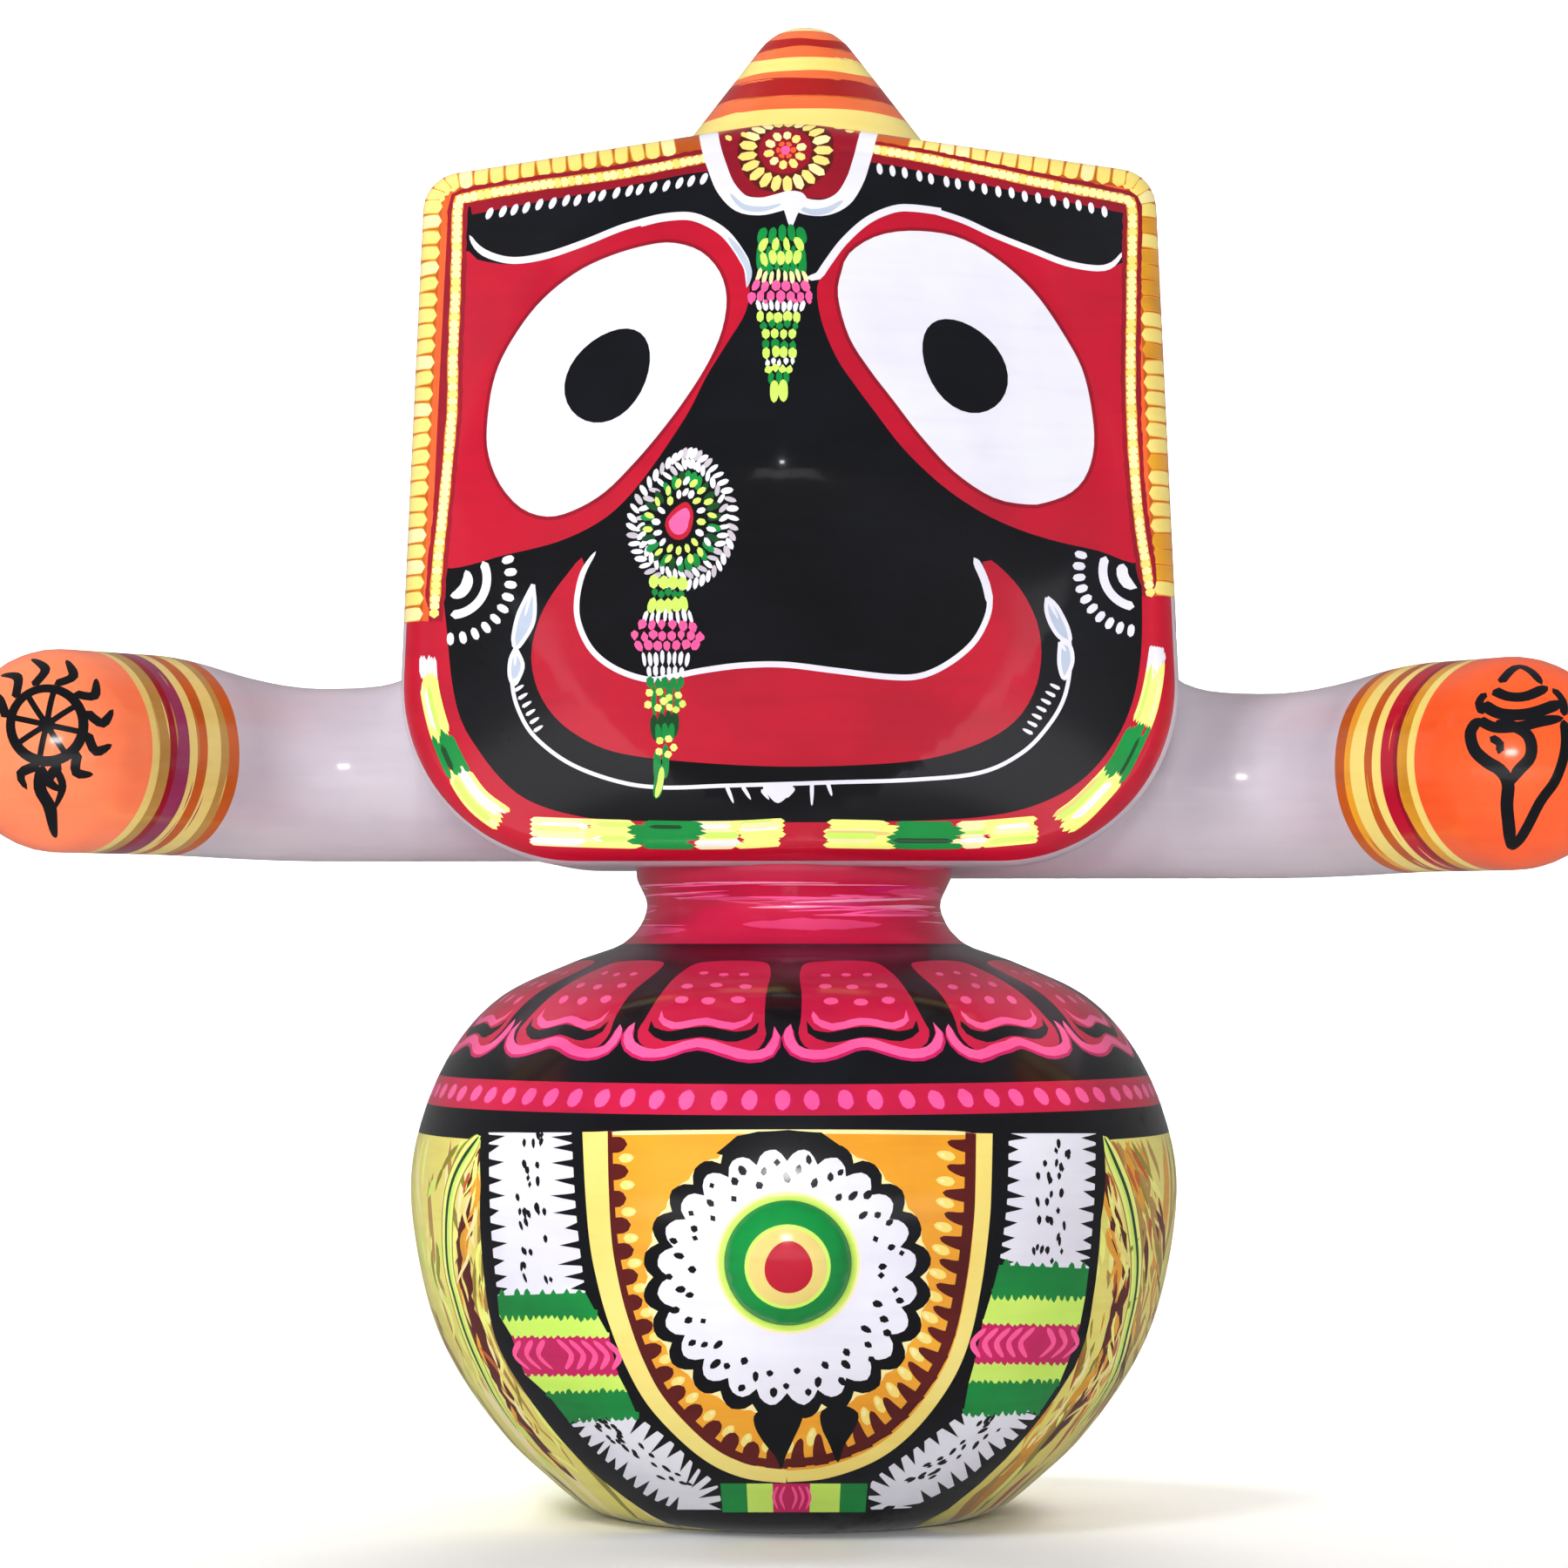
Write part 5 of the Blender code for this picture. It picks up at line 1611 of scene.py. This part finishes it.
CONCH = [
    ([(1722, 784), (1735, 769), (1745, 765), (1758, 771), (1770, 786)], 10),
    ([(1714, 792), (1730, 799), (1752, 799), (1777, 788)], 12),
    ([(1701, 808), (1722, 819), (1756, 819), (1794, 806)], 13),
    ([(1697, 826), (1716, 835), (1744, 834), (1770, 828), (1795, 824)], 11),
    ([(1706, 795), (1698, 806), (1703, 820)], 9),
    ([(1782, 790), (1794, 804), (1795, 822)], 9),
    ([(1699, 824), (1688, 840), (1692, 860), (1706, 874), (1722, 884), (1731, 900), (1730, 930), (1733, 975)], 13),
    ([(1714, 832), (1738, 834), (1755, 846), (1757, 868), (1742, 886), (1733, 902)], 12),
    ([(1710, 846), (1722, 854), (1720, 866)], 8),
    ([(1795, 826), (1797, 858), (1786, 895), (1764, 928), (1735, 976)], 11),
]
for pixels, width in CONCH:
    dome_line(right, right_arm, pixels, width + 1.5, start=0.06, end=0.16)
print("palms:", len(left_arm.strokes), "and", len(right_arm.strokes), "shapes")

# %% [markdown]
# Every paint is the same gloss enamel with its own colour. So one function makes them all, and before that
# a small class lets shader sums be written as ordinary expressions.

# %% Writing shader maths as expressions
class Value:
    """A number that flows through a node tree, with the ordinary signs building Math nodes."""

    def __init__(self, tree, socket):
        self.tree = tree
        self.socket = socket

    def math(self, operation, *others):
        node = self.tree.nodes.new("ShaderNodeMath")
        node.operation = operation
        for plug, value in zip(node.inputs, (self, *others)):
            feed(self.tree, plug, value)
        return Value(self.tree, node.outputs[0])

    def __add__(self, other):
        return self.math("ADD", other)

    def __radd__(self, other):
        return self.math("ADD", other)

    def __sub__(self, other):
        return self.math("SUBTRACT", other)

    def __rsub__(self, other):
        return (self * -1.0).math("ADD", other)

    def __mul__(self, other):
        return self.math("MULTIPLY", other)

    def __rmul__(self, other):
        return self.math("MULTIPLY", other)

    def __truediv__(self, other):
        return self.math("DIVIDE", other)

    def __pow__(self, other):
        return self.math("POWER", other)

    def clamped(self):
        """The same number held between 0 and 1."""
        return self.math("MAXIMUM", 0.0).math("MINIMUM", 1.0)

    def ramp(self, low, high):
        """0 below low, 1 above high, and smooth between."""
        t = ((self - low) / (high - low)).clamped()
        return t * t * (3.0 - 2.0 * t)


def feed(tree, plug, value):
    """Puts a value on a socket, or links it."""
    if isinstance(value, Value):
        tree.links.new(value.socket, plug)
    elif isinstance(value, bpy.types.NodeSocket):
        tree.links.new(value, plug)
    else:
        plug.default_value = value


class Nodes:
    """A material's node tree, with one method that adds any node."""

    def __init__(self, name):
        self.material = bpy.data.materials.new(name)
        self.material.use_nodes = True
        self.tree = self.material.node_tree
        self.shader = self.tree.nodes["Principled BSDF"]

    def node(self, kind, settings=None, **values):
        """Adds a node, makes its settings first and then fills its inputs by name."""
        node = self.tree.nodes.new("ShaderNode" + kind)
        for key, value in (settings or {}).items():
            setattr(node, key, value)
        for key, value in values.items():
            feed(self.tree, node.inputs[key.replace("_", " ")], value)
        return node

    def noise(self, vector, scale, detail=2.0, roughness=0.5):
        """Soft noise from 0 to 1 over a vector."""
        node = self.node("TexNoise", {"noise_dimensions": "3D"}, Vector=vector, Scale=scale, Detail=detail, Roughness=roughness)
        return Value(self.tree, node.outputs["Fac"])

    def stretched(self, vector, scale):
        """A vector scaled by three numbers."""
        return self.node("Mapping", {"vector_type": "POINT"}, Vector=vector, Scale=scale).outputs["Vector"]

    def mixed(self, factor, first, second):
        """A colour between two colours."""
        node = self.node("Mix", {"data_type": "RGBA", "blend_type": "MIX"})
        for plug, value in zip((node.inputs[0], node.inputs[6], node.inputs[7]), (factor, first, second)):
            feed(self.tree, plug, value)
        return node.outputs[2]

    def set(self, **values):
        """Sets the shader's own inputs."""
        for key, value in values.items():
            feed(self.tree, self.shader.inputs[key.replace("_", " ")], value)


# %% [markdown]
# Gloss enamel dries in three visible layers of detail. Thin streaks follow the brush, broader clouds show
# where the coat is thick or thin, and a few dull scuffs and specks come from handling and dust. Bumps from
# the same streaks break up the reflections. The sheen itself is a clear coat over a slightly rough base.

# %% Enamels
def shade(red, green, blue, strength=1.0):
    """A colour given as it looks on a screen, turned into light strengths."""
    linear = [((c / 255 + 0.055) / 1.055) ** 2.4 if c > 10 else c / 255 / 12.92 for c in (red, green, blue)]
    return (*[c * strength for c in linear], 1.0)


def enamel(name, colour, deep, gloss=0.26, cover=1.0):
    """One paint: its colour, the deeper colour of its streaks, how rough it dries and how well it covers."""
    n = Nodes("enamel_" + name)
    place = n.node("TexCoord").outputs["Object"]
    streak = n.noise(n.stretched(place, (45.0, 45.0, 420.0)), 1.0, 2.0, 0.5)
    cloud = n.noise(place, 34.0, 3.0, 0.55)
    fine = n.noise(place, 420.0, 2.0, 0.6)
    speck = n.noise(place, 1500.0, 1.0, 0.5).ramp(0.72, 0.78)
    scuff = (n.noise(place, 60.0, 4.0, 0.7) * n.noise(place, 11.0, 2.0, 0.5) * 2.0).ramp(0.66, 0.92)
    thin = (streak.ramp(0.4, 0.8) * 0.3 + cloud.ramp(0.35, 0.7) * 0.7) * (1.25 - cover * 0.45)
    n.set(
        Base_Color=n.mixed(thin.clamped(), colour, deep),
        Roughness=(gloss + cloud * 0.08 + scuff * 0.2 + speck * 0.3 + streak * 0.06).clamped(),
        Coat_Weight=(0.62 - scuff * 0.35 - speck * 0.4).clamped(),
        Coat_Roughness=0.13,
        Coat_IOR=1.5,
        IOR=1.45,
        Specular_IOR_Level=0.25,
    )
    height = streak * 0.16 + fine * 0.2 + cloud * 1.2 + speck * 0.3
    bump = n.node("Bump", {"invert": False}, Strength=0.32, Distance=0.00016, Height=height)
    n.set(Normal=bump.outputs["Normal"])
    return n.material


enamels = {
    "black": enamel("black", shade(6, 7, 12), shade(13, 15, 24), 0.28),
    "crimson": enamel("crimson", shade(186, 16, 44), shade(160, 13, 40)),
    "dark_red": enamel("dark_red", shade(150, 16, 36), shade(116, 12, 32)),
    "maroon": enamel("maroon", shade(96, 22, 20), shade(66, 14, 14)),
    "white": enamel("white", shade(226, 226, 236), shade(212, 208, 224)),
    "pearl": enamel("pearl", shade(194, 185, 195), shade(176, 166, 180)),
    "orange": enamel("orange", shade(248, 98, 44), shade(230, 76, 30)),
    "rust": enamel("rust", shade(196, 92, 30), shade(150, 66, 20)),
    "yellow": enamel("yellow", shade(238, 220, 128), shade(230, 200, 96)),
    "cream": enamel("cream", shade(240, 228, 170), shade(232, 212, 140)),
    "gold": enamel("gold", shade(226, 160, 40), shade(170, 112, 26)),
    "amber": enamel("amber", shade(234, 164, 44), shade(212, 134, 30)),
    "green": enamel("green", shade(12, 140, 62), shade(8, 108, 48)),
    "dark_green": enamel("dark_green", shade(20, 74, 36), shade(12, 50, 26)),
    "lime": enamel("lime", shade(206, 236, 108), shade(180, 222, 80)),
    "pink": enamel("pink", shade(252, 96, 158), shade(236, 62, 132)),
    "magenta": enamel("magenta", shade(206, 26, 98), shade(170, 18, 80)),
    "olive": enamel("olive", shade(150, 140, 40), shade(112, 104, 28)),
    "rose": enamel("rose", shade(200, 24, 66), shade(168, 20, 58)),
    "lemon": enamel("lemon", shade(238, 238, 134), shade(218, 228, 100)),
    "straw": enamel("straw", shade(230, 220, 118), shade(208, 192, 84)),
    "tan": enamel("tan", shade(182, 142, 70), shade(150, 104, 48)),
    "sand": enamel("sand", shade(226, 204, 122), shade(206, 180, 96)),
    "tangerine": enamel("tangerine", shade(232, 112, 62), shade(216, 90, 44)),
    # The next two pinks serve only the neck's painted highlight streaks.
    "hot_pink": enamel("hot_pink", shade(222, 66, 116), shade(200, 40, 92)),
    "blush": enamel("blush", shade(240, 150, 182), shade(226, 112, 152)),
    # Plum is the left cuffs' crimson, dulled as painted haze.
    "plum": enamel("plum", shade(146, 52, 92), shade(118, 36, 70)),
    "brick": enamel("brick", shade(168, 26, 24), shade(142, 20, 22)),
    # Peach is the left dome's orange, made paler as a painted highlight.
    "peach": enamel("peach", shade(252, 132, 88), shade(244, 108, 66)),
    "sky": enamel("sky", shade(184, 194, 210), shade(160, 174, 196)),
}


def bare_wood():
    """End grain on the underside: fine growth rings, pores and a little dirt."""
    n = Nodes("bare_wood")
    place = n.node("TexCoord").outputs["Object"]
    parts = n.node("SeparateXYZ", Vector=place)
    x, y = Value(n.tree, parts.outputs["X"]) + 0.011, Value(n.tree, parts.outputs["Y"]) - 0.006
    wobble = n.noise(place, 40.0, 3.0, 0.5) * 0.006
    radius = (x * x + y * y) ** 0.5 + wobble
    rings = (radius * 2600.0).math("SINE") * 0.5 + 0.5
    pores = n.noise(place, 900.0, 2.0, 0.6)
    dirt = n.noise(place, 70.0, 4.0, 0.65).ramp(0.45, 0.75)
    base = n.mixed((rings * 0.55 + pores * 0.4).clamped(), shade(206, 170, 122), shade(160, 116, 74))
    n.set(Base_Color=n.mixed(dirt * 0.5, base, shade(112, 86, 62)), Roughness=(0.62 + pores * 0.2).clamped())
    bump = n.node("Bump", Strength=0.4, Distance=0.0002, Height=rings * 0.5 + pores)
    n.set(Normal=bump.outputs["Normal"])
    return n.material


enamels["bare_wood"] = bare_wood()
print("enamels:", len(enamels))

# %% [markdown]
# A piece is its patches cut, lifted and welded into one closed surface. Every corner keeps the normal of the
# carved form, so flat triangles shade as smooth wood. A patch that ends inside the head is closed by a fan.

# %% Wrapping the paint onto the wood
WELD = 0.004


def boundary_of(faces):
    """The edges that only one face uses, in the order that face runs along them."""
    sides = {(a, b) for face in faces for a, b in zip(face, face[1:] + face[:1])}
    return [(a, b) for a, b in sides if (b, a) not in sides]


def build_piece(name, patches, cap=None):
    """Cuts and lifts patches, welds their rims into one closed mesh and hands each face its paint."""
    points, normals, faces, paints = [], [], [], []
    for patch in patches:
        places, triangles, tops = patch.cut()
        base = len(points)
        points += [patch.lift(*p) for p in places]
        normals += [patch.normal(*p) for p in places]
        faces += [tuple(base + i for i in tri) for tri in triangles]
        paints += tops
    rims = sorted({i for edge in boundary_of(faces) for i in edge})
    finder = KDTree(len(rims))
    for i in rims:
        finder.insert(points[i], i)
    finder.balance()
    twin = list(range(len(points)))
    for i in rims:
        twin[i] = twin[min(index for _, index, _ in finder.find_range(points[i], WELD))]
    used = [(face, paint) for face, paint in zip(faces, paints) if len({twin[i] for i in face}) == 3]
    if cap:
        edge = [twin[finder.find(cap.lift(*p))[1]] for p in cap.rim]
        middle = len(points)
        points.append(sum((points[i] for i in edge), Vector()) / len(edge))
        normals.append((points[middle] - points[edge[0]]).cross(points[edge[1]] - points[middle]).normalized())
        twin.append(middle)
        ends = boundary_of([tuple(twin[i] for i in face) for face, _ in used])
        used += [((b, a, middle), cap.strokes[0][0]) for a, b in ends]
    mesh = bpy.data.meshes.new(name)
    mesh.from_pydata([p * MM for p in points], [], [tuple(twin[i] for i in face) for face, _ in used])
    names = sorted({paint for _, paint in used})
    for paint in names:
        mesh.materials.append(enamels[paint])
    mesh.polygons.foreach_set("material_index", [names.index(paint) for _, paint in used])
    mesh.normals_split_custom_set([normals[i] for face, _ in used for i in face])
    loose = bmesh.new()
    loose.from_mesh(mesh)
    bmesh.ops.delete(loose, geom=[v for v in loose.verts if not v.link_faces], context="VERTS")
    open_edges = sum(1 for e in loose.edges if len(e.link_faces) != 2)
    loose.free()
    piece = bpy.data.objects.new(name, mesh)
    bpy.context.scene.collection.objects.link(piece)
    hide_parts("jagannath_figure")
    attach(piece, "root")
    print(name + ":", len(used), "triangles,", len(names), "paints, open edges", open_edges)
    return piece


head_piece = build_piece("head", [head, head_back])
pot_piece = build_piece("pot_body", [pot], cap=pot)
knot_piece = build_piece("topknot", [topknot], cap=topknot)
left_piece = build_piece("left_arm", [left_arm], cap=left_arm)
right_piece = build_piece("right_arm", [right_arm], cap=right_arm)

# %% [markdown]
# The studio is a pale floor that curves up into a pale wall, so no horizon cuts behind the figure. Gloss
# black mirrors whatever is there, so the floor and wall are kept out of its reflections, as a studio's black
# flags do, and the room is dim. One small soft box just above and behind the eye gives the small window highlights.

# %% Studio
def soft_box(name, where, aim, size, power, mirrored=True):
    """A rectangular studio lamp aimed at a point, which gloss paint mirrors or not. Places are in metres."""
    lamp = bpy.data.lights.new(name, "AREA")
    lamp.shape = "RECTANGLE"
    lamp.size, lamp.size_y = size
    lamp.energy = power
    obj = bpy.data.objects.new(name, lamp)
    obj.location = where
    obj.visible_glossy = mirrored
    obj.visible_camera = False
    obj.rotation_euler = (Vector(aim) - Vector(where)).to_track_quat("-Z", "Y").to_euler()
    bpy.context.scene.collection.objects.link(obj)


SWEEP_WIDTH = 4.0
SWEEP_FRONT = -2.6
SWEEP_BACK = 1.5
SWEEP_RADIUS = 0.7
WALL_TOP = 3.2
sweep = [(SWEEP_FRONT, 0.0)]
sweep += [(SWEEP_BACK - SWEEP_RADIUS * (1 - math.sin(a)), SWEEP_RADIUS * (1 - math.cos(a))) for a in (math.radians(5 * k) for k in range(19))]
sweep.append((SWEEP_BACK, WALL_TOP))
points = [(x, y, z) for y, z in sweep for x in (-SWEEP_WIDTH, SWEEP_WIDTH)]
quads = [(2 * i, 2 * i + 1, 2 * i + 3, 2 * i + 2) for i in range(len(sweep) - 1)]
floor_mesh = bpy.data.meshes.new("studio_floor")
floor_mesh.from_pydata(points, [], quads)
floor_mesh.shade_smooth()
floor = bpy.data.objects.new("studio_floor", floor_mesh)
bpy.context.scene.collection.objects.link(floor)
floor_paint = Nodes("pale_floor")
where = floor_paint.node("SeparateXYZ", Vector=floor_paint.node("TexCoord").outputs["Object"])
x, y = (Value(floor_paint.tree, where.outputs[axis]) for axis in "XY")
far = ((x * x + y * y) ** 0.5).ramp(0.4, 2.4)
floor_paint.set(
    Base_Color=(0.86, 0.86, 0.86, 1.0),
    Roughness=0.7,
    Emission_Color=floor_paint.mixed(far, (0.0, 0.0, 0.0, 1.0), (0.68, 0.68, 0.68, 1.0)),
    Emission_Strength=1.0,
)
floor_mesh.materials.append(floor_paint.material)
floor.visible_glossy = False
MIDDLE = (0.0, 0.0, 0.15)
DIM_ROOM = 0.2
PALE_ROOM = 0.9
soft_box("key", (-0.62, -1.0, 1.15), MIDDLE, (0.3, 0.3), 10.0, mirrored=False)
soft_box("side", (0.85, -1.1, 0.5), MIDDLE, (0.2, 0.38), 1.6, mirrored=False)
soft_box("fill", (-0.9, -1.5, 0.6), MIDDLE, (0.6, 0.6), 6.0, mirrored=False)
soft_box("window", (-0.02, -1.1, 0.33), MIDDLE, (0.22, 0.11), 2.6)
soft_box("white_table", (0.0, -0.62, 0.02), (0.0, -0.05, 0.2), (1.2, 0.14), 0.5)
for side in (-1, 1):
    soft_box("wall_light", (side * 1.1, 0.5, 1.7), (side * 0.3, 1.5, 0.5), (0.6, 0.6), 24.0, mirrored=False)
world = bpy.data.worlds.new("studio")
bpy.context.scene.world = world
world.use_nodes = True
room = world.node_tree.nodes["Background"].inputs
room["Color"].default_value = (1.0, 1.0, 1.0, 1.0)
seen_directly = world.node_tree.nodes.new("ShaderNodeLightPath").outputs["Is Camera Ray"]
strength = world.node_tree.nodes.new("ShaderNodeMath")
strength.operation = "MULTIPLY_ADD"
world.node_tree.links.new(seen_directly, strength.inputs[0])
strength.inputs[1].default_value, strength.inputs[2].default_value = PALE_ROOM - DIM_ROOM, DIM_ROOM
world.node_tree.links.new(strength.outputs[0], room["Strength"])

# %% [markdown]
# The camera is the same eye that placed the painting. The plain view transform keeps the enamels as bright
# and clear as their colours were mixed.

# %% Camera
camera_data = bpy.data.cameras.new("camera")
camera_data.sensor_width = SENSOR
camera_data.lens = FOCAL_PIXELS * SENSOR / PICTURE
camera_data.clip_start, camera_data.clip_end = 0.01, 20.0
camera = bpy.data.objects.new("camera", camera_data)
camera.location = EYE * MM
camera.rotation_euler = forward.to_track_quat("-Z", "Y").to_euler()
bpy.context.scene.collection.objects.link(camera)
bpy.context.scene.camera = camera
bpy.context.scene.view_settings.view_transform = "Standard"
